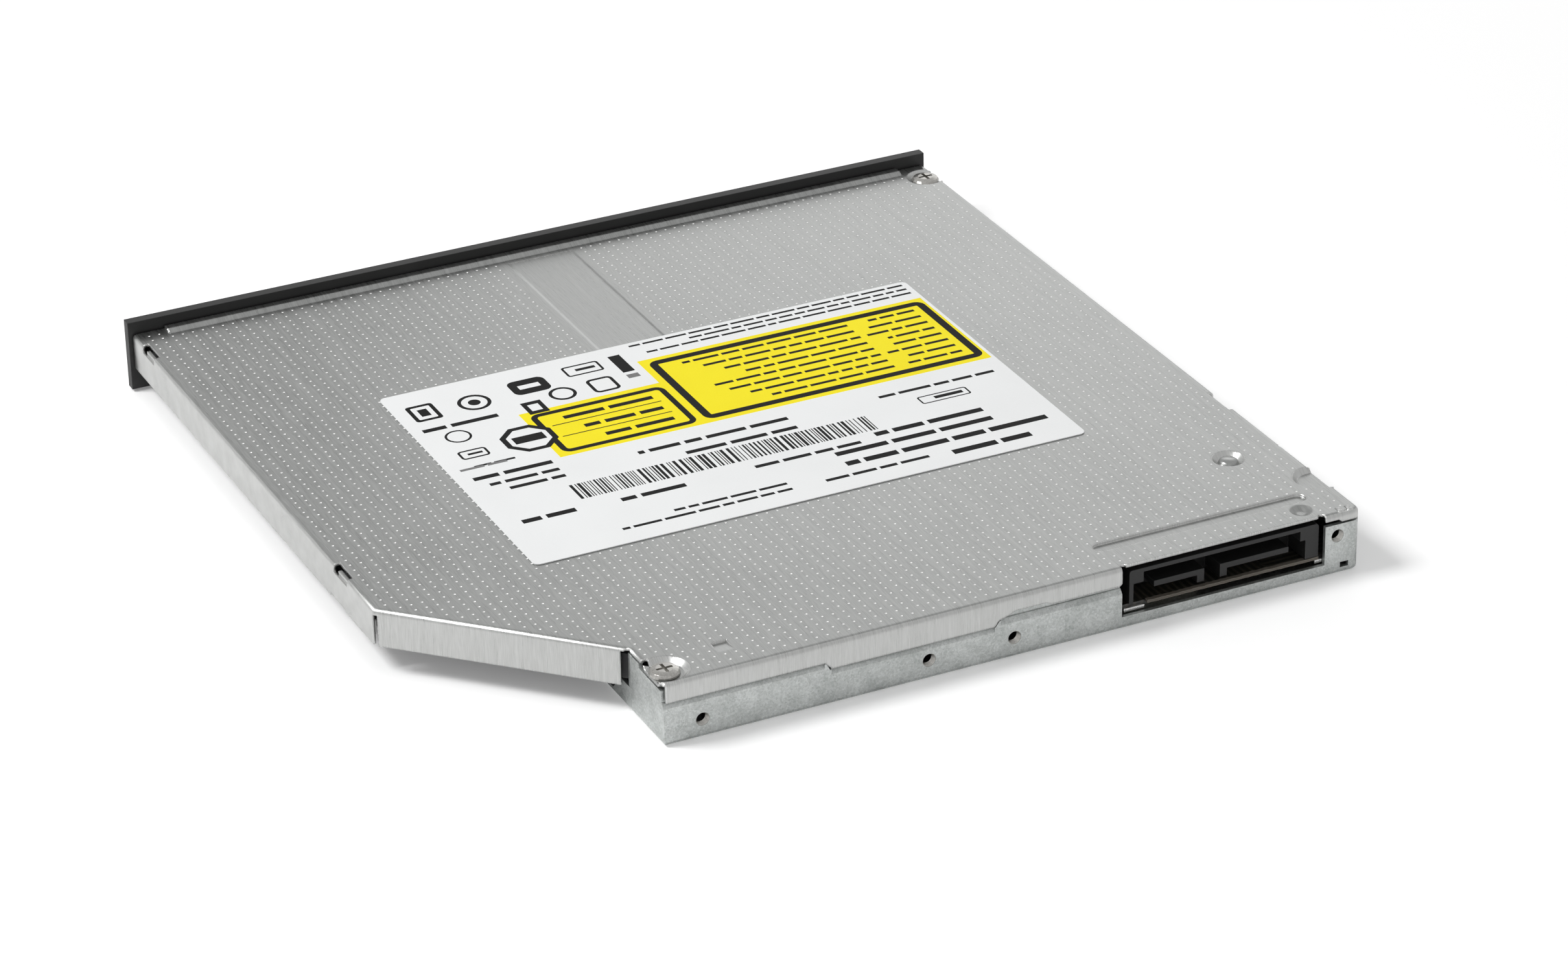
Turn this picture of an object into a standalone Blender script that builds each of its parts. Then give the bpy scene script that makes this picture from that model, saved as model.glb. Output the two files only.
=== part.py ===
"""Slim tray-loading optical drive, 9.5 mm high, modelled piece by piece.

Sizes are in millimetres and become metres in the shape functions.
The front bezel faces -Y, the receptacle faces +Y and +Z is up.
"""
import math

import bmesh
import bpy
from mathutils import Matrix, Vector

MM = 0.001

# Overall size
WIDTH = 128.0
DEPTH = 129.0
FIELD_TOP = 9.1
STRIP_TOP = 9.5

# Clearances
GAP = 0.3
SEAT = 0.05
RUNNING = 0.08
RUN = 0.25

# Sheet and plate thicknesses
COVER_SHEET = 0.4
PAN_SHEET = 0.6
LABEL_SHEET = 0.12
PLATE_SHEET = 0.3
BOARD_SHEET = 0.6

# Plan of the case
SIDE_INSET = 0.2
WING_INSET = 0.6
WALL_X = 38.4
CHAMFER_Y = 29.5
CHAMFER_END_Y = 54.0
FLANGE_BOTTOM = 3.8
BEND = 0.6

# Front bezel
BEZEL_DEPTH = 2.0
BEZEL_BOTTOM = 0.4
BEZEL_TOP = 10.9
BEZEL_ROUND = 0.5

# Rear wall and its flange
FLANGE_STEP_X = 15.3
FLANGE_RISE_X = -9.0
RECESS_LEFT_X = -27.5
RECESS_RIGHT_X = -58.3
RECESS_BOTTOM = 1.8
JOGGLE = 0.8
REAR_FLANGE_LEFT = 6.2
REAR_FLANGE_DEEP = 5.2
REAR_FLANGE_RIGHT = 6.5
COLUMN_FLANGE = 7.8

# Disc, tray and travel
DISC_R = 60.0
SPINDLE_X = 1.3
SPINDLE_Y = -1.0
DISH_CLEAR = 0.5
DISH_FLOOR_TOP = 6.4
DISH_FLOOR = 0.8
TRAY_WALL = 1.2
TRAY_PLATE_Z = 1.4
WING_BOTTOM = 4.2

# Traverse unit, measured from the spindle along the pickup's travel
TRAVERSE_TURN = 225.0
FRAME_U0 = -20.0
FRAME_U1 = 67.5
FRAME_HALF = 20.0
FRAME_TIP_HALF = 16.0
FRAME_Z = 4.2
FRAME_SHEET = 0.6
ROD_R = 1.0
ROD_V = 13.6
ROD_Z = 3.0
SCREW_V = 17.3
SCREW_R = 1.0
LENS_IN = 23.5
SLED_HALF_U = 7.5
SLED_HALF_V = 15.3
ROTOR_R = 12.4
HUB_R = 7.4

scene = bpy.context.scene
for old in list(bpy.data.objects):
    bpy.data.objects.remove(old, do_unlink=True)
parts = bpy.data.collections.new("slim_dvd_writer")
helpers = bpy.data.collections.new("cutters")
scene.collection.children.link(parts)
scene.collection.children.link(helpers)


# Shape functions

def material(name, colour, roughness, metallic=0.0):
    """Make a Principled material, or return the one that has this name."""
    found = bpy.data.materials.get(name)
    if found:
        return found
    made = bpy.data.materials.new(name)
    made.use_nodes = True
    made.diffuse_color = (*colour, 1.0)
    shader = made.node_tree.nodes["Principled BSDF"]
    shader.inputs["Base Color"].default_value = (*colour, 1.0)
    shader.inputs["Roughness"].default_value = roughness
    shader.inputs["Metallic"].default_value = metallic
    return made


def put(name, mesh, parent=None):
    """Wrap a mesh in an object of the parts collection."""
    obj = bpy.data.objects.new(name, mesh)
    parts.objects.link(obj)
    obj.parent = parent
    return obj


def finish(obj, name, surface, origin=None):
    """Name a finished piece, give it its material and set its origin."""
    obj.name = name
    obj.data.name = name
    obj.data.materials.clear()
    obj.data.materials.append(surface)
    if origin:
        shift = Vector(origin) * MM
        obj.data.transform(Matrix.Translation(-shift))
        obj.location = shift
    obj.data.shade_smooth()
    obj.data.set_sharp_from_angle(angle=math.radians(35))
    return obj


def from_bmesh(bm, name, parent=None):
    """Turn a bmesh into an object and free the bmesh."""
    bmesh.ops.recalc_face_normals(bm, faces=bm.faces)
    if bm.calc_volume(signed=True) < 0:
        bmesh.ops.reverse_faces(bm, faces=bm.faces)
    mesh = bpy.data.meshes.new(name)
    bm.to_mesh(mesh)
    bm.free()
    return put(name, mesh, parent)


def block(x0, x1, y0, y1, z0, z1, parent=None):
    """A box between two corners."""
    bm = bmesh.new()
    bmesh.ops.create_cube(bm, size=MM)
    size = (abs(x1 - x0), abs(y1 - y0), abs(z1 - z0))
    middle = Vector(((x0 + x1) / 2, (y0 + y1) / 2, (z0 + z1) / 2)) * MM
    bmesh.ops.scale(bm, vec=size, verts=bm.verts)
    bmesh.ops.translate(bm, vec=middle, verts=bm.verts)
    return from_bmesh(bm, "block", parent)


TURNS = {
    "Z": Matrix.Identity(3),
    "X": Matrix.Rotation(math.radians(90), 3, "Y"),
    "Y": Matrix.Rotation(math.radians(-90), 3, "X"),
}


def drum(centre, r0, r1, length, axis="Z", sides=32, parent=None):
    """A cylinder or cone from a centre of its first end, along an axis."""
    bm = bmesh.new()
    bmesh.ops.create_cone(bm, cap_ends=True, segments=sides, radius1=r0 * MM, radius2=r1 * MM,
                          depth=length * MM)
    bmesh.ops.translate(bm, vec=(0, 0, length * MM / 2), verts=bm.verts)
    bmesh.ops.rotate(bm, matrix=TURNS[axis], verts=bm.verts)
    bmesh.ops.translate(bm, vec=Vector(centre) * MM, verts=bm.verts)
    return from_bmesh(bm, "drum", parent)


def prism(outline, low, high, axis="Z", parent=None):
    """A flat outline pushed from low to high along an axis.

    The outline is (x, y) along Z, (y, z) along X and (x, z) along Y.
    """
    curve = bpy.data.curves.new("outline", "CURVE")
    curve.dimensions = "2D"
    curve.fill_mode = "BOTH"
    curve.extrude = (high - low) * MM / 2
    line = curve.splines.new("POLY")
    line.points.add(len(outline) - 1)
    line.use_cyclic_u = True
    for point, (a, b) in zip(line.points, outline):
        point.co = (a * MM, b * MM, 0, 1)
    holder = bpy.data.objects.new("outline", curve)
    helpers.objects.link(holder)
    bpy.context.view_layer.update()
    depsgraph = bpy.context.evaluated_depsgraph_get()
    mesh = bpy.data.meshes.new_from_object(holder.evaluated_get(depsgraph))
    bpy.data.objects.remove(holder)
    bm = bmesh.new()
    bm.from_mesh(mesh)
    bpy.data.meshes.remove(mesh)
    bmesh.ops.remove_doubles(bm, verts=bm.verts, dist=0.000001)
    bmesh.ops.dissolve_limit(bm, angle_limit=0.001, verts=bm.verts, edges=bm.edges)
    middle = (low + high) * MM / 2
    for vert in bm.verts:
        a, b, c = vert.co
        c += middle
        vert.co = {"Z": (a, b, c), "X": (c, a, b), "Y": (a, c, b)}[axis]
    return from_bmesh(bm, "prism", parent)


def turned(profile, centre, axis="Z", sides=32, parent=None):
    """A turned piece: a profile of (radius, height) run down its outer side."""
    bm = bmesh.new()
    verts = [bm.verts.new((r * MM, 0, h * MM)) for r, h in profile]
    for first, second in zip(verts, verts[1:]):
        bm.edges.new((first, second))
    mesh = bpy.data.meshes.new("turned")
    bm.to_mesh(mesh)
    bm.free()
    holder = bpy.data.objects.new("turned", mesh)
    helpers.objects.link(holder)
    screw = holder.modifiers.new("screw", "SCREW")
    screw.steps = sides
    screw.render_steps = sides
    screw.use_merge_vertices = True
    screw.merge_threshold = 0.000001
    bpy.context.view_layer.update()
    depsgraph = bpy.context.evaluated_depsgraph_get()
    spun = bpy.data.meshes.new_from_object(holder.evaluated_get(depsgraph))
    bpy.data.objects.remove(holder)
    bm = bmesh.new()
    bm.from_mesh(spun)
    bpy.data.meshes.remove(spun)
    bmesh.ops.remove_doubles(bm, verts=bm.verts, dist=0.000001)
    bmesh.ops.rotate(bm, matrix=TURNS[axis], verts=bm.verts)
    bmesh.ops.translate(bm, vec=Vector(centre) * MM, verts=bm.verts)
    return from_bmesh(bm, "turned", parent)


def combine(obj, others, operation):
    """Cut, join or trim a piece with others, and keep the result as its mesh."""
    for other in others:
        step = obj.modifiers.new("step", "BOOLEAN")
        step.operation = operation
        step.solver = "EXACT"
        step.object = other
    bpy.context.view_layer.update()
    depsgraph = bpy.context.evaluated_depsgraph_get()
    mesh = bpy.data.meshes.new_from_object(obj.evaluated_get(depsgraph))
    obj.modifiers.clear()
    obj.data = mesh
    for other in others:
        bpy.data.objects.remove(other)
    bm = bmesh.new()
    bm.from_mesh(mesh)
    bmesh.ops.remove_doubles(bm, verts=bm.verts, dist=0.000001)
    bmesh.ops.dissolve_limit(bm, angle_limit=0.001, verts=bm.verts, edges=bm.edges)
    bm.to_mesh(mesh)
    bm.free()
    return obj


def cut(obj, *others):
    """Take others away from a piece."""
    return combine(obj, others, "DIFFERENCE")


def join(obj, *others):
    """Add others to a piece."""
    return combine(obj, others, "UNION")


def round_edges(obj, chosen, radius, segments=2):
    """Round the edges for which chosen(middle, direction) is true, in millimetres."""
    bm = bmesh.new()
    bm.from_mesh(obj.data)
    picked = []
    for edge in bm.edges:
        start, end = (vert.co / MM for vert in edge.verts)
        if chosen((start + end) / 2, (end - start).normalized()):
            picked.append(edge)
    bmesh.ops.bevel(bm, geom=picked, offset=radius * MM, offset_type="OFFSET", segments=segments,
                    profile=0.5, affect="EDGES", clamp_overlap=True)
    bmesh.ops.connect_verts_nonplanar(bm, angle_limit=0.00001, faces=bm.faces)
    bm.to_mesh(obj.data)
    bm.free()
    return obj


def inset(outline, distance):
    """Move each side of a counter-clockwise outline inwards by a distance."""
    moved = []
    count = len(outline)
    for index in range(count):
        before = Vector(outline[index - 1])
        here = Vector(outline[index])
        after = Vector(outline[(index + 1) % count])
        first = (here - before).normalized()
        second = (after - here).normalized()
        normal_a = Vector((-first.y, first.x))
        normal_b = Vector((-second.y, second.x))
        reach = distance / (1 + normal_a.dot(normal_b))
        moved.append(tuple(here + (normal_a + normal_b) * reach))
    return moved


def arc(centre, radius, start, end, steps):
    """Points on a circle between two angles in degrees."""
    points = []
    for index in range(steps + 1):
        angle = math.radians(start + (end - start) * index / steps)
        points.append((centre[0] + radius * math.cos(angle), centre[1] + radius * math.sin(angle)))
    return points


def rounded_box(x0, x1, y0, y1, radius, steps=4):
    """Outline of a rectangle with round corners, counter-clockwise."""
    corners = [(x1 - radius, y0 + radius, -90), (x1 - radius, y1 - radius, 0),
               (x0 + radius, y1 - radius, 90), (x0 + radius, y0 + radius, 180)]
    points = []
    for x, y, start in corners:
        points += arc((x, y), radius, start, start + 90, steps)
    return points


# Lines and levels worked out from the sizes

FRONT_Y = -DEPTH / 2 + BEZEL_DEPTH + GAP
REAR_Y = DEPTH / 2
RIGHT_X = -WIDTH / 2 + SIDE_INSET
LEFT_X = WIDTH / 2 - WING_INSET
CHAMFER_END_Y = CHAMFER_Y + LEFT_X - WALL_X
COVER_UNDER = FIELD_TOP - COVER_SHEET
OUTSIDE = 2.0
REAR_IN = REAR_Y - COVER_SHEET - GAP
TRAY_TOP = COVER_UNDER - 0.9
DISH_R = DISC_R + DISH_CLEAR
DECK_UNDER = DISH_FLOOR_TOP - DISH_FLOOR
TRAY_RIGHT = RIGHT_X + PAN_SHEET + 3.2
TRAY_DEEP_LEFT = WALL_X - PAN_SHEET - 0.6
TRAY_LEFT = LEFT_X - COVER_SHEET - 0.8
TRAY_LINE = LEFT_X + CHAMFER_Y - 1.7
TRAY_REAR = REAR_Y - 3.8
FRAME_TOP = FRAME_Z + FRAME_SHEET
PLATE_TOP = TRAY_PLATE_Z + PLATE_SHEET
BOARD_Z = DECK_UNDER - BOARD_SHEET - RUN

# Surfaces
STEEL = material("brushed_steel", (0.62, 0.62, 0.61), 0.38, 1.0)
ZINC = material("galvanised_steel", (0.60, 0.61, 0.61), 0.5, 1.0)
PAPER = material("label_stock", (0.92, 0.93, 0.92), 0.45)
BLACK = material("black_plastic", (0.022, 0.022, 0.024), 0.5)
GREY_BLACK = material("receptacle_plastic", (0.035, 0.037, 0.038), 0.55)
NICKEL = material("nickel_screw", (0.74, 0.73, 0.71), 0.25, 1.0)
GREEN = material("solder_mask", (0.02, 0.14, 0.06), 0.4)
CHIP = material("chip_resin", (0.03, 0.03, 0.032), 0.6)
CREAM = material("socket_nylon", (0.78, 0.75, 0.66), 0.5)
FLEX = material("flex_film", (0.60, 0.33, 0.09), 0.35)
RUBBER = material("damper_rubber", (0.06, 0.06, 0.065), 0.8)
ROD = material("ground_rod", (0.7, 0.7, 0.7), 0.15, 1.0)
GLASS = material("lens_glass", (0.35, 0.45, 0.6), 0.05)
CAST = material("cast_alloy", (0.45, 0.45, 0.46), 0.45, 1.0)
COPPER = material("motor_can", (0.55, 0.53, 0.5), 0.35, 1.0)
CLEAR = material("light_guide", (0.8, 0.85, 0.8), 0.2)

COVER_OUTLINE = [(RIGHT_X, FRONT_Y), (LEFT_X, FRONT_Y), (LEFT_X, CHAMFER_Y),
                 (WALL_X, CHAMFER_END_Y), (WALL_X, REAR_Y), (RIGHT_X, REAR_Y)]

# Places on the cover, measured from the photo
SCREW_HEAD_R = 2.05
SCREW_SHANK_R = 0.8
SCREW_FR = (RIGHT_X + 1.85, FRONT_Y + 4.2)
SCREW_RL = (WALL_X - 1.9, REAR_Y - 3.6)
SCREW_RECESS = 0.65
DIMPLE_RIGHT = (-55.4, 43.9)
DIMPLE_DEPTH = 0.7
DIMPLE_R = 2.3
EDGE_RECESS = (-63.1, 54.1)
EDGE_RECESS_R = 3.3
BEAD_X0 = -59.2
BEAD_X1 = -26.4
BEAD_Y = 58.1
BEAD_HALF = 1.45
BEAD_DEPTH = 0.35
CONE_DIMPLE = (-56.3, 61.4)
CONE_R = 1.6
CONE_DEPTH = 0.45
STRIP_X0 = -59.1
STRIP_X1 = 58.6
STRIP_BACK = 2.0
SMOOTH_X0 = -3.9
SMOOTH_X1 = 6.5
SMOOTH_DEPTH = 0.07
WINDOWS = (-55.9, 18.0)
WINDOW_LENGTH = 4.8


def press(sheet, centre, top_r, floor_r, depth, sides=32):
    """Press a round dish into the cover: metal is added below and taken above."""
    x, y = centre
    under = drum((x, y, FIELD_TOP - depth - COVER_SHEET), floor_r + 0.25, top_r + 0.15,
                 depth + COVER_SHEET / 2, sides=sides)
    join(sheet, under)
    above = drum((x, y, FIELD_TOP - depth), floor_r, top_r, depth + 0.001, sides=sides)
    lid = drum((x, y, FIELD_TOP), top_r, top_r, OUTSIDE, sides=sides)
    return cut(sheet, join(above, lid))


def cross_cutter(centre, top, arm, width, depth):
    """The cross-shaped recess of a screw head."""
    x, y = centre
    first = block(x - arm, x + arm, y - width, y + width, top - depth, top + OUTSIDE)
    second = block(x - width, x + width, y - arm, y + arm, top - depth, top + OUTSIDE)
    return join(first, second)


def pan_screw(name, centre, seat, head_r, head, shank_r, shank, surface, down=False):
    """A pan-head screw whose head sits on a seat, its shank below it, or above it if down."""
    x, y = centre
    profile = [(0, seat + head), (head_r * 0.55, seat + head), (head_r * 0.9, seat + head * 0.75),
               (head_r, seat + head * 0.35), (head_r, seat), (shank_r, seat),
               (shank_r, seat - shank + 0.3), (shank_r - 0.3, seat - shank), (0, seat - shank)]
    if down:
        profile = [(r, 2 * seat - h) for r, h in reversed(profile)]
    screw = turned(profile, (x, y, 0), sides=16)
    if down:
        arm = block(x - head_r * 0.55, x + head_r * 0.55, y - 0.2, y + 0.2, seat - head - 1,
                    seat - head * 0.4)
        other = block(x - 0.2, x + 0.2, y - head_r * 0.55, y + head_r * 0.55, seat - head - 1,
                      seat - head * 0.4)
        cutter = join(arm, other)
    else:
        cutter = cross_cutter(centre, seat + head, head_r * 0.55, 0.22, head * 0.6)
    cut(screw, cutter)
    return finish(screw, name, surface, (x, y, seat))


# Case pieces, which stay still

def build_cover():
    """The folded steel cover: field, bends, flanges and pressed details."""
    cover = prism(COVER_OUTLINE, FLANGE_BOTTOM, FIELD_TOP)

    def top_edge(middle, way):
        return middle.z > FIELD_TOP - 0.01 and middle.y > FRONT_Y + 0.1

    def rear_corner(middle, way):
        return abs(way.z) > 0.9 and middle.x < RIGHT_X + 0.1 and middle.y > 0

    round_edges(cover, rear_corner, 1.2, 4)
    round_edges(cover, top_edge, BEND, 3)
    hollow = inset(COVER_OUTLINE, COVER_SHEET)
    hollow[0] = (hollow[0][0], FRONT_Y - OUTSIDE)
    hollow[1] = (hollow[1][0], FRONT_Y - OUTSIDE)
    inside = prism(hollow, FLANGE_BOTTOM - OUTSIDE, COVER_UNDER)
    round_edges(inside, lambda middle, way: middle.z > COVER_UNDER - 0.01, BEND - COVER_SHEET, 2)
    cut(cover, inside)

    # Front strip, raised by one step of the press
    strip_rear = FRONT_Y + STRIP_BACK
    slope = STRIP_TOP - FIELD_TOP
    strip = prism([(FRONT_Y, COVER_UNDER + 0.1), (strip_rear, COVER_UNDER + 0.1), (strip_rear, FIELD_TOP),
                   (strip_rear - 2 * slope, STRIP_TOP), (FRONT_Y, STRIP_TOP)], STRIP_X0, STRIP_X1, "X")
    groove = block(STRIP_X0 + COVER_SHEET, STRIP_X1 - COVER_SHEET, FRONT_Y - OUTSIDE,
                   strip_rear - 2 * slope, COVER_UNDER - OUTSIDE, FIELD_TOP)
    join(cover, strip)
    cut(cover, groove)

    # Sides: the short right flange, and none beside the full-height wall
    right_low = block(RIGHT_X - OUTSIDE, RIGHT_X + 1.3, FRONT_Y - OUTSIDE, REAR_Y - BEND / 2,
                      0, COLUMN_FLANGE)
    beside_wall = block(WALL_X - COVER_SHEET - 0.01, WALL_X + OUTSIDE, CHAMFER_END_Y - 0.2,
                        REAR_Y + OUTSIDE, 0, COVER_UNDER)
    cut(cover, right_low)
    cut(cover, beside_wall)

    # Lower edge of the rear flange, with its steps and the cut for the receptacle
    low = FLANGE_BOTTOM - OUTSIDE
    edge = [(WALL_X + OUTSIDE, low), (WALL_X + OUTSIDE, REAR_FLANGE_LEFT),
            (FLANGE_STEP_X + 0.4, REAR_FLANGE_LEFT), (FLANGE_STEP_X - 0.6, REAR_FLANGE_DEEP),
            (FLANGE_RISE_X + 0.3, REAR_FLANGE_DEEP), (FLANGE_RISE_X - 0.3, REAR_FLANGE_RIGHT - 0.5),
            (FLANGE_RISE_X - 2.0, REAR_FLANGE_RIGHT), (FLANGE_RISE_X - 2.7, REAR_FLANGE_RIGHT + 0.35),
            (FLANGE_RISE_X - 7.2, REAR_FLANGE_RIGHT + 0.35), (FLANGE_RISE_X - 8.0, REAR_FLANGE_RIGHT),
            (RECESS_LEFT_X + 0.3, REAR_FLANGE_RIGHT), (RECESS_LEFT_X, REAR_FLANGE_RIGHT + 0.3),
            (RECESS_LEFT_X, FIELD_TOP + OUTSIDE), (RECESS_RIGHT_X, FIELD_TOP + OUTSIDE),
            (RECESS_RIGHT_X, COLUMN_FLANGE + 0.4), (RECESS_RIGHT_X - 2.0, COLUMN_FLANGE + 0.4),
            (RECESS_RIGHT_X - 2.5, COLUMN_FLANGE), (RIGHT_X - OUTSIDE, COLUMN_FLANGE),
            (RIGHT_X - OUTSIDE, low)]
    cut(cover, prism(edge, REAR_Y - BEND, REAR_Y + OUTSIDE, "Y"))
    for x in (RECESS_LEFT_X - 0.4, RECESS_RIGHT_X + 0.4):
        cut(cover, drum((x, REAR_Y - BEND, 7), 0.45, 0.45, 4, sides=16))

    # Slots between the flanges, and the windows lanced in the side bend
    cut(cover, block(LEFT_X - 1.6, LEFT_X + 1, CHAMFER_Y - 0.4, CHAMFER_Y + 0.4, 0, FIELD_TOP - 0.8))
    cut(cover, block(WALL_X - 1, WALL_X + 0.9, CHAMFER_END_Y - 1.2, CHAMFER_END_Y + 0.4, 0,
                     COVER_UNDER))
    cut(cover, drum((WALL_X + 0.3, CHAMFER_END_Y - 0.3, 7), 0.45, 0.45, 4, sides=16))
    for y in WINDOWS:
        near = y - WINDOW_LENGTH / 2
        far = y + WINDOW_LENGTH / 2
        cut(cover, block(LEFT_X - 1.0, LEFT_X + 1, near, far, FIELD_TOP - 1.1, FIELD_TOP + 1))
        join(cover, block(LEFT_X - 0.75, LEFT_X - 0.25, near + 1.3, far + 0.3, FIELD_TOP - 1.5,
                          FIELD_TOP - 0.45))
    cut(cover, block(LEFT_X - 1, LEFT_X + 1, WINDOWS[1] - 4.0, WINDOWS[1] + 1.6, 0,
                     FLANGE_BOTTOM + 0.3))

    # Right edge: a set-in stretch and two small notches
    cut(cover, block(RIGHT_X - 1, RIGHT_X + 0.9, 25.4, 31.2, 0, FIELD_TOP + 1))
    for y in (-40.3, 43.6):
        cut(cover, drum((RIGHT_X, y, 7), 0.5, 0.5, 4, sides=16))

    # Pressed details
    press(cover, DIMPLE_RIGHT, DIMPLE_R, DIMPLE_R - 0.8, DIMPLE_DEPTH)
    press(cover, EDGE_RECESS, EDGE_RECESS_R, EDGE_RECESS_R - 0.7, DIMPLE_DEPTH)
    cut(cover, block(RIGHT_X - 5, RIGHT_X, EDGE_RECESS[1] - 5, EDGE_RECESS[1] + 5, 0, FIELD_TOP + 1))
    press(cover, CONE_DIMPLE, CONE_R, CONE_R - 1.0, CONE_DEPTH, 24)
    press(cover, SCREW_RL, SCREW_HEAD_R + 1.25, SCREW_HEAD_R + 0.5, SCREW_RECESS)
    cut(cover, block(WALL_X, WALL_X + 5, CHAMFER_END_Y + 1, REAR_Y + 1, 0, FIELD_TOP + 1))
    cut(cover, block(WALL_X - 1.0, WALL_X + 1, SCREW_RL[1] - 3.4, SCREW_RL[1] - 2.4, 6, FIELD_TOP + 1))
    press(cover, SCREW_FR, SCREW_HEAD_R + 0.7, SCREW_HEAD_R + 0.3, SCREW_RECESS)
    cut(cover, block(RIGHT_X - 5, RIGHT_X, FRONT_Y, FRONT_Y + 9, 0, FIELD_TOP + 1))
    for centre in (SCREW_FR, SCREW_RL):
        cut(cover, drum((*centre, 5), SCREW_SHANK_R + GAP, SCREW_SHANK_R + GAP, 6, sides=24))

    # The long bead near the rear edge
    ends = [(BEAD_X1 - BEAD_HALF, -90), (BEAD_X0 + BEAD_HALF, 90)]
    for grow, z0, z1, action in ((0.1, FIELD_TOP - BEAD_DEPTH - COVER_SHEET, COVER_UNDER + 0.1, join),
                                 (-0.3, FIELD_TOP - BEAD_DEPTH, FIELD_TOP + 1, cut)):
        outline = []
        for x, start in ends:
            outline += arc((x, BEAD_Y), BEAD_HALF + grow, start, start + 180, 8)
        action(cover, prism(outline, z0, z1))

    # The smooth band that clears the hub, and the small lanced hook
    cut(cover, block(SMOOTH_X0, SMOOTH_X1, FRONT_Y + 3.2, SPINDLE_Y, FIELD_TOP - SMOOTH_DEPTH,
                     FIELD_TOP + 1))
    ramp = prism([(57.6, FIELD_TOP - 0.3), (60.2, FIELD_TOP), (60.2, FIELD_TOP + 1),
                  (57.6, FIELD_TOP + 1)], 26.4, 28.6, "X")
    cut(cover, ramp)
    return finish(cover, "top_cover", STEEL)


HOLES_REAR = ((33.0, 2.7), (0.84, 2.8), (-11.6, 2.9), (-60.2, 5.8))
REAR_HOLE_R = 0.95
FULL_WALL_Y = CHAMFER_END_Y + GAP
LOW_WALL = FLANGE_BOTTOM - GAP
PIN_AT = (21.5, 56.6)
PIN_R = 1.0
PIN_TOP = 4.0


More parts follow.
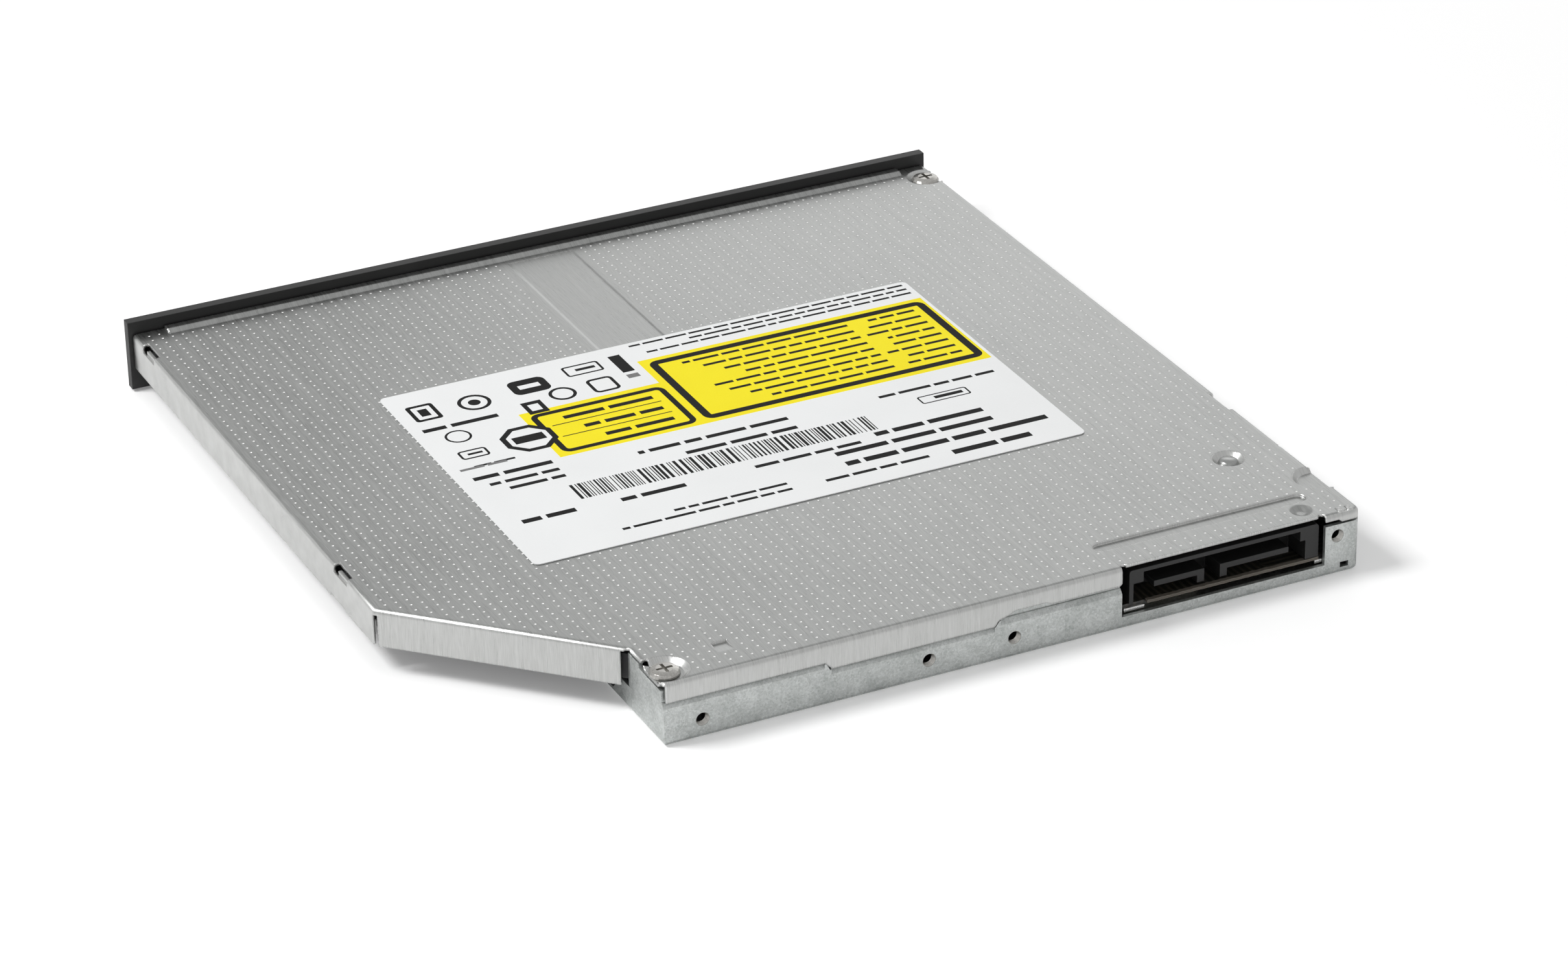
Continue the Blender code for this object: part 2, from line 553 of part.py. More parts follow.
def build_chassis():
    """The galvanised pan: floor, low left wall, right wall and stepped rear wall."""
    wall_top = COVER_UNDER - GAP
    plan = [(RIGHT_X, FRONT_Y), (WALL_X, FRONT_Y), (WALL_X, REAR_Y), (RIGHT_X, REAR_Y)]
    chassis = prism(plan, 0, wall_top)

    def bottom(middle, way):
        return middle.z < 0.01 and middle.y > FRONT_Y + 0.1

    def corner(middle, way):
        return abs(way.z) > 0.9 and middle.x < RIGHT_X + 0.1 and middle.y > 0

    round_edges(chassis, corner, 1.2, 4)
    round_edges(chassis, bottom, BEND, 3)
    hollow = inset(plan, PAN_SHEET)
    hollow[0] = (hollow[0][0], FRONT_Y - OUTSIDE)
    hollow[1] = (hollow[1][0], FRONT_Y - OUTSIDE)
    cut(chassis, prism(hollow, PAN_SHEET, wall_top + 1))

    # The rear wall is set in behind each length of the cover's flange
    inner = REAR_IN - PAN_SHEET
    join(chassis, block(RECESS_LEFT_X, WALL_X - GAP, inner, REAR_IN + 0.4, 3.6, wall_top))
    left = WALL_X + 1
    deep = REAR_FLANGE_DEEP - 0.1
    line = [(left, REAR_FLANGE_LEFT - 0.1), (FLANGE_STEP_X + 0.3, REAR_FLANGE_LEFT - 0.1),
            (FLANGE_STEP_X - 0.3, deep), (FLANGE_RISE_X + 0.2, deep),
            (FLANGE_RISE_X - 0.4, REAR_FLANGE_RIGHT - 0.6), (RECESS_LEFT_X - 1, REAR_FLANGE_RIGHT - 0.6),
            (RECESS_LEFT_X - 1, 12), (left, 12)]
    cut(chassis, prism(line, REAR_IN, REAR_Y + 1, "Y"))
    spans = ((FLANGE_STEP_X + 0.5, left, REAR_FLANGE_LEFT - 0.1),
             (FLANGE_RISE_X + 0.3, FLANGE_STEP_X - 0.5, deep),
             (RECESS_LEFT_X - 1, FLANGE_RISE_X - 0.6, REAR_FLANGE_RIGHT - 0.6))
    for x0, x1, edge in spans:
        cut(chassis, prism([(REAR_IN + 0.05, edge + 0.1), (REAR_Y + 0.1, edge - JOGGLE),
                            (REAR_Y + 1, edge - JOGGLE), (REAR_Y + 1, edge + 0.1)], x0, x1, "X"))

    # Wall heights: low under the tray's wing, and the right column under its flange
    cut(chassis, block(WALL_X - PAN_SHEET - 0.5, WALL_X + 1, FRONT_Y - 1, FULL_WALL_Y, LOW_WALL, 12))
    cut(chassis, block(RIGHT_X - 1, RIGHT_X + 1.3, FRONT_Y - 1, REAR_Y + 1, COLUMN_FLANGE - GAP, 12))
    cut(chassis, block(RIGHT_X - 1, RECESS_RIGHT_X + 0.01, REAR_Y - 2, REAR_Y + 1, COLUMN_FLANGE - GAP, 12))
    cut(chassis, block(RECESS_RIGHT_X, RECESS_LEFT_X, REAR_Y - 2, REAR_Y + 1, RECESS_BOTTOM, 12))

    # Ears that the two cover screws bite into
    ear_top = FIELD_TOP - SCREW_RECESS - COVER_SHEET - GAP
    x, y = SCREW_RL
    join(chassis, block(x - 2.2, WALL_X - 0.2, y - 2.2, REAR_IN - 0.2, ear_top - PAN_SHEET, ear_top))
    x, y = SCREW_FR
    join(chassis, block(RIGHT_X + 0.2, x + 1.5, y - 2.2, y + 2.2, ear_top - PAN_SHEET, ear_top - 0.1))
    cut(chassis, block(SCREW_RL[0] - 3.8, WALL_X + 1, SCREW_RL[1] - 3.8, REAR_Y + 1, ear_top, 12))
    for centre in (SCREW_RL, SCREW_FR):
        cut(chassis, drum((*centre, 5), SCREW_SHANK_R + RUN, SCREW_SHANK_R + RUN, 4, sides=20))

    # Holes of the rear wall, the left wall and the floor
    for x, z in HOLES_REAR:
        cut(chassis, drum((x, REAR_Y - 3, z), REAR_HOLE_R, REAR_HOLE_R, 6, "Y", 20))
    cut(chassis, block(-62.0, -60.7, REAR_Y - 2, REAR_Y + 1, 0.9, 1.7))
    cut(chassis, drum((WALL_X - 2, 48.4, 2.0), 1.1, 1.1, 4, "X", 20))
    for x, y in ((-45, -45), (22, -45), (22, 40), (-45, 20)):
        cut(chassis, drum((x, y, -1), 1.2, 1.2, 3, sides=20))
    tread = block(-52, 28, -36, 44, -1, 0.18)
    round_edges(tread, lambda middle, way: abs(way.z) > 0.9, 8, 5)
    cut(chassis, tread)
    return finish(chassis, "bottom_chassis", ZINC)


def build_lock_pin():
    """Post on the chassis floor that the tray's lock catches."""
    x, y = PIN_AT
    low = PAN_SHEET + SEAT
    profile = [(0, PIN_TOP), (PIN_R - 0.3, PIN_TOP), (PIN_R, PIN_TOP - 0.3), (PIN_R, low + 0.5),
               (PIN_R + 0.8, low + 0.5), (PIN_R + 0.8, low), (0, low)]
    return finish(turned(profile, (x, y, 0), sides=24), "lock_pin", NICKEL, (x, y, low))


LABEL_X0 = -42.1
LABEL_X1 = 40.1
LABEL_Y0 = -26.3
LABEL_Y1 = 28.4


def build_label():
    """The rating label, a sticker on the field of the cover."""
    low = FIELD_TOP + SEAT / 2
    label = prism(rounded_box(LABEL_X0, LABEL_X1, LABEL_Y0, LABEL_Y1, 1.3), low, low + LABEL_SHEET)
    return finish(label, "rating_label", PAPER)


# Receptacle, its board and the sockets of the flat cable
CONN_X0 = -57.6
CONN_X1 = -28.9
CONN_Z0 = 3.1
CONN_Z1 = 8.0
CONN_DEEP = 5.4
CONN_FACE = REAR_Y - 0.6
CONN_BOARD_Z = 2.35
BOARD_FRONT = 31.0
CABLE_X0 = -40.5
CABLE_X1 = -31.5
CABLE_SHEET = 0.12


def build_receptacle():
    """Combined data and power receptacle: a shroud with two L-shaped tongues."""
    shell = block(CONN_X0, CONN_X1, CONN_FACE - CONN_DEEP, CONN_FACE, CONN_Z0, CONN_Z1)
    round_edges(shell, lambda middle, way: abs(way.y) > 0.9 and middle.z > CONN_Z1 - 0.1, 0.4, 2)
    back = CONN_FACE - CONN_DEEP + 1.0
    cavity = block(-55.6, -29.5, back, CONN_FACE + 1, CONN_Z0 - 1, 7.45)
    cut(shell, cavity)
    join(shell, block(-31.0, -29.2, back - 0.2, CONN_FACE, 6.0, 7.7))
    join(shell, block(-55.9, -54.8, back - 0.2, CONN_FACE, 6.0, 7.7))
    tip = CONN_FACE - 0.5
    join(shell, block(-40.45, -32.9, back - 0.3, tip, 4.55, 5.35))
    join(shell, block(-40.45, -39.4, back - 0.3, tip, 3.45, 4.65))
    join(shell, block(-53.3, -42.85, back - 0.3, tip, 4.55, 5.35))
    join(shell, block(-43.9, -42.85, back - 0.3, tip, 3.45, 4.65))
    return finish(shell, "sata_receptacle", GREY_BLACK)


def build_connector_board():
    """Small circuit board that carries the receptacle, stepped down at its ends."""
    face = REAR_Y - 1.1
    plan = [(RIGHT_X + PAN_SHEET + 0.5, BOARD_FRONT), (-60.6, BOARD_FRONT), (-27.9, 59.6), (-27.9, face),
            (RIGHT_X + PAN_SHEET + 0.5, face)]
    board = prism(plan, CONN_BOARD_Z, CONN_BOARD_Z + BOARD_SHEET)
    x, y = BOARD_SCREW
    cut(board, drum((x, y, 0), 1.2, 1.2, 6, sides=20))
    return finish(board, "connector_board", GREEN)


BOARD_SCREW = (-60.4, 50.0)


def build_board_screw():
    """Screw through the connector board into the floor, with its stand-off."""
    x, y = BOARD_SCREW
    low = PAN_SHEET + SEAT
    seat = CONN_BOARD_Z + BOARD_SHEET + SEAT
    profile = [(0, seat + 0.8), (1.4, seat + 0.8), (1.7, seat + 0.4), (1.7, seat), (0.9, seat),
               (0.9, CONN_BOARD_Z - SEAT), (1.8, CONN_BOARD_Z - SEAT), (1.8, low), (0, low)]
    screw = turned(profile, (x, y, 0), sides=24)
    cut(screw, cross_cutter(BOARD_SCREW, seat + 0.8, 0.9, 0.2, 0.5))
    return finish(screw, "board_screw", NICKEL, (x, y, seat))


def build_rear_socket():
    """Flat-cable socket under the connector board."""
    socket = block(CABLE_X0 - 1, CABLE_X1 + 1, 56.0, 59.4, 1.0, CONN_BOARD_Z - SEAT)
    mouth = block(CABLE_X0 - 0.3, CABLE_X1 + 0.3, 55, 57.6, 1.2, 1.75)
    return finish(cut(socket, mouth), "rear_flex_socket", CREAM)


CABLE_FOLD_Y = -28.0
CABLE_FLOOR = PAN_SHEET + 0.08
CABLE_UPPER = TRAY_PLATE_Z - 0.22


def build_flex_cable():
    """Folded flat cable from the connector board to the board on the tray."""
    upper = CABLE_UPPER
    lower = CABLE_FLOOR
    middle = (upper + lower) / 2
    half = (upper - lower) / 2
    route = [(57.3, 1.45), (56.0, 1.45), (54.4, 1.3), (52.6, lower + 0.1), (50.5, lower), (10.0, lower)]
    for index in range(9):
        angle = math.radians(-90 - 180 * index / 8)
        route.append((CABLE_FOLD_Y + half * math.cos(angle), middle + half * math.sin(angle)))
    route += [(10.0, upper), (24.0, upper), (27.0, upper + 0.2), (30.0, 2.0), (32.0, 2.6), (33.5, 2.8),
              (36.2, 2.8)]
    return finish(ribbon(route, CABLE_X0, CABLE_X1, CABLE_SHEET), "flex_cable", FLEX)


def ribbon(route, x0, x1, sheet, parent=None):
    """A flat strip of one thickness along a route of (y, z) points."""
    bm = bmesh.new()
    verts = [bm.verts.new((x0 * MM, y * MM, z * MM)) for y, z in route]
    for first, second in zip(verts, verts[1:]):
        bm.edges.new((first, second))
    spread = bmesh.ops.extrude_edge_only(bm, edges=bm.edges[:])
    moved = [item for item in spread["geom"] if isinstance(item, bmesh.types.BMVert)]
    bmesh.ops.translate(bm, vec=((x1 - x0) * MM, 0, 0), verts=moved)
    mesh = bpy.data.meshes.new("ribbon")
    bm.to_mesh(mesh)
    bm.free()
    strip = put("ribbon", mesh, parent)
    thick = strip.modifiers.new("sheet", "SOLIDIFY")
    thick.thickness = sheet * MM
    thick.offset = 0
    bpy.context.view_layer.update()
    depsgraph = bpy.context.evaluated_depsgraph_get()
    solid = bpy.data.meshes.new_from_object(strip.evaluated_get(depsgraph))
    strip.modifiers.clear()
    strip.data = solid
    bm = bmesh.new()
    bm.from_mesh(solid)
    bmesh.ops.recalc_face_normals(bm, faces=bm.faces)
    bm.to_mesh(solid)
    bm.free()
    return strip


# Tray and its pieces, which slide out of the front

TRAY_OUTLINE = [(TRAY_RIGHT, FRONT_Y), (TRAY_LEFT, FRONT_Y), (TRAY_LEFT, TRAY_LINE - TRAY_LEFT),
                (TRAY_DEEP_LEFT, TRAY_LINE - TRAY_DEEP_LEFT), (31.5, TRAY_REAR), (-14.0, TRAY_REAR),
                (-24.0, TRAY_REAR - 1.2), (TRAY_RIGHT, 27.5)]
DEEP_OUTLINE = [(TRAY_RIGHT, FRONT_Y), (TRAY_DEEP_LEFT, FRONT_Y)] + TRAY_OUTLINE[3:]
WING_EDGE = TRAY_LEFT - 1.9
WING_RAIL_TOP = 6.3
WALL_LOW = PLATE_TOP + SEAT
LEFT_GROOVE_Z = 5.1
RIGHT_GROOVE_Z = 3.5
TONGUE = 0.6
BUTTON_X = 27.0
BUTTON_Z = 5.6
BUTTON_HALF = 5.7
BUTTON_HALF_HIGH = 1.5
BUTTON_TRAVEL = 0.5
LED_X = 16.0
PINHOLE_X = 12.0
SMALL_Z = 4.6
PUSHER_X = 8.0
PUSHER_Z = 3.1
PUSHER_R = 1.0
HOOKS = ((-50.0, 2.6), (5.0, 2.4), (50.0, 4.4))
HOOK_HALF = 3.0
PLATE_SCREWS = ((-54.5, -54.0), (33.0, -56.0), (33.2, 47.0), (-54.5, 22.0))
BOSS_R = 1.8
LOCK_GAP = (19.9, 23.1)
SLOT_FLEX = (23.0, 34.5)


def outline_in_unit(grow=0.0):
    """Outline of the traverse frame in the unit's own directions."""
    far = FRAME_U1 + grow
    near = FRAME_U0 - grow
    wide = FRAME_HALF + grow
    tip = FRAME_TIP_HALF + grow
    return [(near, -wide), (far - 2, -tip - 2), (far, -tip), (far, tip), (far - 2, tip + 2), (near, wide)]


def to_plan(u, v):
    """Plan position of a point given along and across the traverse unit."""
    turn = math.radians(TRAVERSE_TURN)
    return (SPINDLE_X + u * math.cos(turn) - v * math.sin(turn),
            SPINDLE_Y + u * math.sin(turn) + v * math.cos(turn))


def build_tray():
    """Moulded tray: disc dish on top, skirt below, window for the traverse unit."""
    tray = prism(TRAY_OUTLINE, WING_BOTTOM, TRAY_TOP)
    join(tray, prism(DEEP_OUTLINE, WALL_LOW, WING_BOTTOM + 1))
    cut(tray, block(WING_EDGE, TRAY_LEFT + 1, FRONT_Y + TRAY_WALL, TRAY_LINE, 0, WING_RAIL_TOP))
    cut(tray, prism(inset(DEEP_OUTLINE, TRAY_WALL), 0, DECK_UNDER))
    wing = [(TRAY_DEEP_LEFT, FRONT_Y + TRAY_WALL), (WING_EDGE - TRAY_WALL, FRONT_Y + TRAY_WALL),
            (WING_EDGE - TRAY_WALL, 27.0), (TRAY_DEEP_LEFT, 48.8)]
    cut(tray, prism(wing, 0, DECK_UNDER))
    for x, y in PLATE_SCREWS:
        join(tray, drum((x, y, WALL_LOW), BOSS_R, BOSS_R, DECK_UNDER + 0.2 - WALL_LOW, sides=20))
    for u, v in DAMPERS:
        x, y = to_plan(u, v)
        join(tray, drum((x, y, DAMPER_TOP + GAP), 2.6, 2.6, DECK_UNDER + 0.2 - DAMPER_TOP - GAP, sides=24))
    window = [to_plan(u, v) for u, v in outline_in_unit(0.5)]
    cut(tray, prism(window, -1, TRAY_TOP + 1))
    for u, v in DAMPERS:
        x, y = to_plan(u, v)
        join(tray, drum((x, y, DECK_UNDER), 3.4, 3.4, DISH_FLOOR, sides=24))
        cut(tray, drum((x, y, DECK_UNDER - 1), 0.95, 0.95, 1.55, sides=16))
    cut(tray, drum((SPINDLE_X, SPINDLE_Y, DISH_FLOOR_TOP), DISH_R, DISH_R + 0.3, 3, sides=120))
    for x, y in PLATE_SCREWS:
        cut(tray, drum((x, y, 0), 0.95, 0.95, DECK_UNDER - 0.4, sides=16))

    # Openings of the front and rear walls
    wall_in = FRONT_Y + TRAY_WALL + 0.2
    cut(tray, block(BUTTON_X - 5, BUTTON_X + 5, FRONT_Y - 1, wall_in, 3.3, DECK_UNDER - 0.2))
    for x, r in ((LED_X, 0.95), (PINHOLE_X, 0.6)):
        cut(tray, drum((x, FRONT_Y - 1, SMALL_Z), r, r, 3, "Y", 16))
    for x, z in HOOKS:
        cut(tray, block(x - HOOK_HALF - GAP, x + HOOK_HALF + GAP, FRONT_Y - 1, wall_in, z - GAP, z + 1.1))
    cut(tray, block(LOCK_GAP[0], LOCK_GAP[1], TRAY_REAR - 2, TRAY_REAR + 1, 0, 4.4))
    cut(tray, block(LEVER_AT[0] - 1.8, LOCK_GAP[0] + 1, TRAY_REAR - 2, TRAY_REAR + 1, 0, LEVER_TOP + GAP))
    cut(tray, drum((PUSHER_X, TRAY_REAR - 3, PUSHER_Z), PUSHER_R + RUN, PUSHER_R + RUN, 5, "Y", 20))
    cut(tray, block(PUSHER_X - 1.5, PUSHER_X + 1.5, TRAY_REAR - 4, TRAY_REAR + 1, 0, PUSHER_Z - 0.6))

    # Tongues that run in the grooves of the mid rails
    for x0, x1, z in ((WING_EDGE - 0.3, WING_EDGE + TONGUE, LEFT_GROOVE_Z),
                      (TRAY_RIGHT - TONGUE, TRAY_RIGHT + 0.3, RIGHT_GROOVE_Z)):
        join(tray, block(x0, x1, FRONT_Y + 6, 20, z - 0.3, z + 0.3))
    return finish(tray, "tray", BLACK)


def build_bezel():
    """Front bezel: a shallow moulding with the button opening and three hooks."""
    front = -DEPTH / 2
    back = front + BEZEL_DEPTH
    bezel = block(-WIDTH / 2, WIDTH / 2, front, back, BEZEL_BOTTOM, BEZEL_TOP)
    round_edges(bezel, lambda middle, way: middle.y < front + 0.1, BEZEL_ROUND, 3)
    cut(bezel, block(-WIDTH / 2 + 1.2, 19, front + 1.1, back + 1, 1.4, 8.2))
    cut(bezel, block(35, WIDTH / 2 - 1.2, front + 1.1, back + 1, 4.6, 8.2))
    x0 = BUTTON_X - BUTTON_HALF
    x1 = BUTTON_X + BUTTON_HALF
    z0 = BUTTON_Z - BUTTON_HALF_HIGH
    z1 = BUTTON_Z + BUTTON_HALF_HIGH
    cut(bezel, block(x0 - GAP, x1 + GAP, front - 1, back + 1, z0 - GAP, z1 + GAP))
    cut(bezel, block(x0 - 1.1, x1 + 1.1, front + 1.0, back + 1, z0 - 1.0, z1 + 1.0))
    cut(bezel, drum((PINHOLE_X, front - 1, SMALL_Z), 0.6, 0.6, 4, "Y", 16))
    cut(bezel, drum((LED_X, front - 1, SMALL_Z), 0.95, 0.95, 4, "Y", 16))
    for x, z in HOOKS:
        tip = FRONT_Y + TRAY_WALL + GAP
        join(bezel, block(x - HOOK_HALF, x + HOOK_HALF, front + 0.6, tip + 0.9, z, z + 0.8))
        join(bezel, block(x - HOOK_HALF, x + HOOK_HALF, tip, tip + 0.9, z - 0.6, z + 0.4))
    return finish(bezel, "front_bezel", BLACK)


def build_tray_plate():
    """Thin steel plate that closes the tray from below."""
    plate = prism(inset(DEEP_OUTLINE, 0.2), TRAY_PLATE_Z, PLATE_TOP)
    cut(plate, block(CABLE_X0 - 1, CABLE_X1 + 1, SLOT_FLEX[0], SLOT_FLEX[1], 0, 3))
    cut(plate, block(LOCK_GAP[0], LOCK_GAP[1], TRAY_REAR - 6, TRAY_REAR + 2, 0, 3))
    for x, y in PLATE_SCREWS:
        cut(plate, drum((x, y, 0), 0.95, 0.95, 3, sides=16))
    cut(plate, drum((SPINDLE_X, SPINDLE_Y, 0), 3.0, 3.0, 3, sides=24))
    return finish(plate, "tray_bottom_plate", ZINC)


def build_plate_screws():
    """Four small screws from below through the plate into the tray's bosses."""
    screws = []
    for index, centre in enumerate(PLATE_SCREWS, 1):
        seat = TRAY_PLATE_Z - SEAT
        screws.append(pan_screw(f"plate_screw_{index}", centre, seat, 1.5, 0.45, 0.7, 3.2, NICKEL, True))
    return screws


MAIN_BOARD = [(-28.0, -60.6), (35.7, -60.6), (35.7, 49.0), (29.0, 57.0), (-14.0, 57.5), (-24.0, 56.0),
              (-46.0, 36.5), (-46.0, 22.0), (-6.0, 22.0), (1.25, 28.9), (31.1, -1.0)]
CHIP_TOP = BOARD_Z - SEAT


def build_main_board():
    """Main circuit board under the deck, shaped around the traverse unit."""
    board = prism(MAIN_BOARD, BOARD_Z, BOARD_Z + BOARD_SHEET)
    for x, y in PLATE_SCREWS:
        cut(board, drum((x, y, 0), BOSS_R + GAP, BOSS_R + GAP, 9, sides=20))
    for u, v in DAMPERS:
        cut(board, drum((*to_plan(u, v), 0), 4.2, 4.2, 9, sides=24))
    cut(board, block(30.4, 40, -60, -54, 0, 9))
    cut(board, block(30.4, 40, 45, 49.6, 0, 9))
    return finish(board, "main_board", GREEN)


def build_chip(name, x, y, half_x, half_y, high):
    """A flat circuit package with bevelled upper edges, hung under the main board."""
    chip = block(x - half_x, x + half_x, y - half_y, y + half_y, CHIP_TOP - high, CHIP_TOP)
    round_edges(chip, lambda middle, way: middle.z < CHIP_TOP - high + 0.1, 0.25, 1)
    join(chip, block(x - half_x - 0.7, x + half_x + 0.7, y - half_y + 0.8, y + half_y - 0.8,
                     CHIP_TOP - 0.25, CHIP_TOP))
    return finish(chip, name, CHIP)


def build_front_socket():
    """Flat-cable socket under the main board; its mouth faces the front."""
    socket = block(CABLE_X0 - 1, CABLE_X1 + 1, 34.6, 38.4, 2.1, CHIP_TOP)
    cut(socket, block(CABLE_X0 - 0.3, CABLE_X1 + 0.3, 33, 36.8, 2.45, 3.15))
    return finish(socket, "front_flex_socket", CREAM)


def build_eject_switch():
    """Small push switch behind the eject button."""
    switch = block(BUTTON_X - 2.2, BUTTON_X + 2.2, -59.9, -57.0, 3.3, CHIP_TOP)
    join(switch, block(BUTTON_X - 0.6, BUTTON_X + 0.6, -60.3, -59.5, 3.7, 4.4))
    return finish(switch, "eject_switch", CHIP)


def build_led():
    """Light guide of the activity lamp."""
    profile = [(0, 3.4), (0.5, 3.4), (0.65, 3.2), (0.65, 0.2), (0.5, 0.0), (0, 0.0)]
    return finish(turned(profile, (LED_X, -DEPTH / 2 + 0.1, SMALL_Z), "Y", 16), "activity_led", CLEAR)


def rail(name, x0, x1, y0, y1, z0, z1, groove, depth):
    """A straight guide rail with a groove along one face."""
    bar = block(x0, x1, y0, y1, z0, z1)
    if groove:
        opening = x0 if depth > 0 else x1
        near = min(opening - depth, opening + depth)
        far = max(opening - depth, opening + depth)
        cut(bar, block(near, far, y0 - 1, y1 + 1, groove - 0.6, groove + 0.6))
    return finish(bar, name, ZINC, ((x0 + x1) / 2, (y0 + y1) / 2, (z0 + z1) / 2))


RAIL_FRONT = FRONT_Y + 2.2


def build_rails():
    """Outer rails fixed in the case and mid rails that travel half as far as the tray."""
    left_end = CHAMFER_Y - 2.5
    right_end = BOARD_FRONT - 1.0
    inner_left = LEFT_X - COVER_SHEET - GAP
    inner_right = RIGHT_X + PAN_SHEET + GAP
    return [
        rail("left_outer_rail", inner_left - 0.7, inner_left, RAIL_FRONT, left_end, 4.1, 6.1, 0, 0),
        rail("left_mid_rail", WING_EDGE + GAP, inner_left - 1.0, RAIL_FRONT, left_end, 4.2, 6.0,
             LEFT_GROOVE_Z, 0.6),
        rail("right_outer_rail", inner_right, inner_right + 0.7, RAIL_FRONT, right_end, 2.0, 5.0, 0, 0),
        rail("right_mid_rail", inner_right + 1.0, TRAY_RIGHT - GAP, RAIL_FRONT, right_end, 2.0, 5.0,
             RIGHT_GROOVE_Z, -0.6),
    ]


# Traverse unit: frame, spindle motor, pickup and its drive

DAMPERS = ((-14.0, 22.6), (-14.0, -22.6), (48.0, -21.6))
DAMPER_TOP = 5.2
ROD_U0 = 14.0
ROD_U1 = 66.8
STATOR_R = 14.6
SLED_U0 = LENS_IN - SLED_HALF_U
SLED_U1 = LENS_IN + SLED_HALF_U
SCREW_U0 = 15.6
SCREW_U1 = 62.1
THREAD_PITCH = 3.0
POST_R = 0.8
POST_END_U = FRAME_U1 - POST_R - 0.4
COVER_POSTS = ((-16.5, 0), (POST_END_U, 9.0), (POST_END_U, -9.0), (8.0, 17.6), (8.0, -17.6))
JOURNAL_R = 0.5
PIVOT_R = 0.7
UNIT = bpy.data.objects.new("traverse_axes", None)
parts.objects.link(UNIT)
UNIT.location = (SPINDLE_X * MM, SPINDLE_Y * MM, 0)
UNIT.rotation_euler = (0, 0, math.radians(TRAVERSE_TURN))
bpy.context.view_layer.update()


def build_frame():
    """Die-cast frame that carries the motor, the rods and the feed drive."""
    frame = prism(outline_in_unit(), FRAME_Z, FRAME_TOP, parent=UNIT)
    for u, v in DAMPERS:
        side = math.copysign(1, v)
        low, high = sorted((side * 17, v))
        ear = block(u - 3.5, u + 3.5, low, high, FRAME_Z + SEAT, FRAME_TOP - SEAT, UNIT)
        tip = drum((u, v, FRAME_Z + SEAT / 2), 3.6, 3.6, FRAME_SHEET - SEAT, sides=24, parent=UNIT)
        join(frame, join(ear, tip))
    rim = FRAME_HALF - 3.6
    cut(frame, block(15.5, 65.6, -15.9, 15.9, 0, 9, UNIT))
    cut(frame, drum((0, 0, 0), 13.0, 13.0, 9, sides=48, parent=UNIT))
    for u, v in DAMPERS:
        cut(frame, drum((u, v, 0), 2.2, 2.2, 9, sides=24, parent=UNIT))
    for u0, u1 in ((12.9, 15.3), (65.8, 67.4)):
        for v in (-ROD_V, ROD_V):
            join(frame, block(u0, u1, v - 1.9, v + 1.9, PLATE_TOP + RUN, FRAME_Z + 0.3, UNIT))
    join(frame, block(62.4, 63.8, rim, 18.4, PLATE_TOP + RUN, FRAME_Z + 0.3, UNIT))
    bore = ROD_R + RUNNING
    rod_room = ROD_U1 - ROD_U0 + 2 * GAP
    for v in (-ROD_V, ROD_V):
        cut(frame, drum((ROD_U0 - GAP, v, ROD_Z), bore, bore, rod_room, "X", 20, UNIT))
    bore = JOURNAL_R + RUNNING
    cut(frame, drum((SCREW_U1 - 1, SCREW_V, ROD_Z), bore, bore, 2.2, "X", 16, UNIT))
    cut(frame, prism([(-17.5, -4.5), (-15.2, -4.5), (-15.2, 4.5), (-17.5, 4.5)], 0, 9, parent=UNIT))
    return finish(frame, "traverse_frame", CAST)


def build_unit_cover():
    """Thin cover over the unit, flush with the floor of the dish."""
    low = FRAME_TOP + 0.7
    cover = prism(outline_in_unit(-0.3), low, low + PLATE_SHEET, parent=UNIT)
    cut(cover, drum((0, 0, 0), ROTOR_R + 1.0, ROTOR_R + 1.0, 9, sides=48, parent=UNIT))
    cut(cover, block(17.8, 63.6, -5.6, 5.6, 0, 9, UNIT))
    for u, v in DAMPERS:
        cut(cover, drum((u, v, 0), 3.8, 3.8, 9, sides=24, parent=UNIT))
    for u, v in COVER_POSTS:
        join(cover, drum((u, v, FRAME_TOP + SEAT), POST_R, POST_R, 0.9, sides=16, parent=UNIT))
    return finish(cover, "traverse_cover", BLACK)


def build_dampers():
    """Rubber bushes in the frame's ears, each with its screw into the deck."""
    made = []
    for index, (u, v) in enumerate(DAMPERS, 1):
        x, y = to_plan(u, v)
        wide = 3.2
        neck = 1.9
        profile = [(1.0, DAMPER_TOP), (wide - 0.3, DAMPER_TOP), (wide, DAMPER_TOP - 0.15),
                   (wide, FRAME_TOP + SEAT), (neck, FRAME_TOP + SEAT), (neck, FRAME_Z - SEAT),
                   (wide, FRAME_Z - SEAT), (wide, 3.5), (wide - 0.3, 3.3), (1.0, 3.3)]
        bush = turned(profile + profile[:1], (x, y, 0), sides=16)
        made.append(finish(bush, f"damper_bush_{index}", RUBBER, (x, y, FRAME_Z)))
        made.append(pan_screw(f"damper_screw_{index}", (x, y), 3.25, 1.6, 0.6, 0.7, 2.75, NICKEL, True))
    return made


def build_stator():
    """Base and coil ring of the spindle motor, under the frame."""
    low = PLATE_TOP + RUN
    profile = [(0, low + 0.5), (STATOR_R - 1.2, low + 0.5), (STATOR_R - 1.2, FRAME_Z - SEAT),
               (STATOR_R, FRAME_Z - SEAT), (STATOR_R, low), (0, low)]
    stator = turned(profile, (0, 0, 0), sides=48, parent=UNIT)
    join(stator, drum((0, 0, low + 0.2), 1.6, 1.6, 1.4, sides=24, parent=UNIT))
    ring = drum((0, 0, low + 0.3), 8.6, 8.6, 1.0, sides=36, parent=UNIT)
    cut(ring, drum((0, 0, low - 1), 4.2, 4.2, 5, sides=24, parent=UNIT))
    join(stator, ring)
    cut(stator, block(8.8, STATOR_R + 1, -STATOR_R, STATOR_R, low + 0.5, 9, UNIT))
    return finish(stator, "spindle_stator", COPPER)


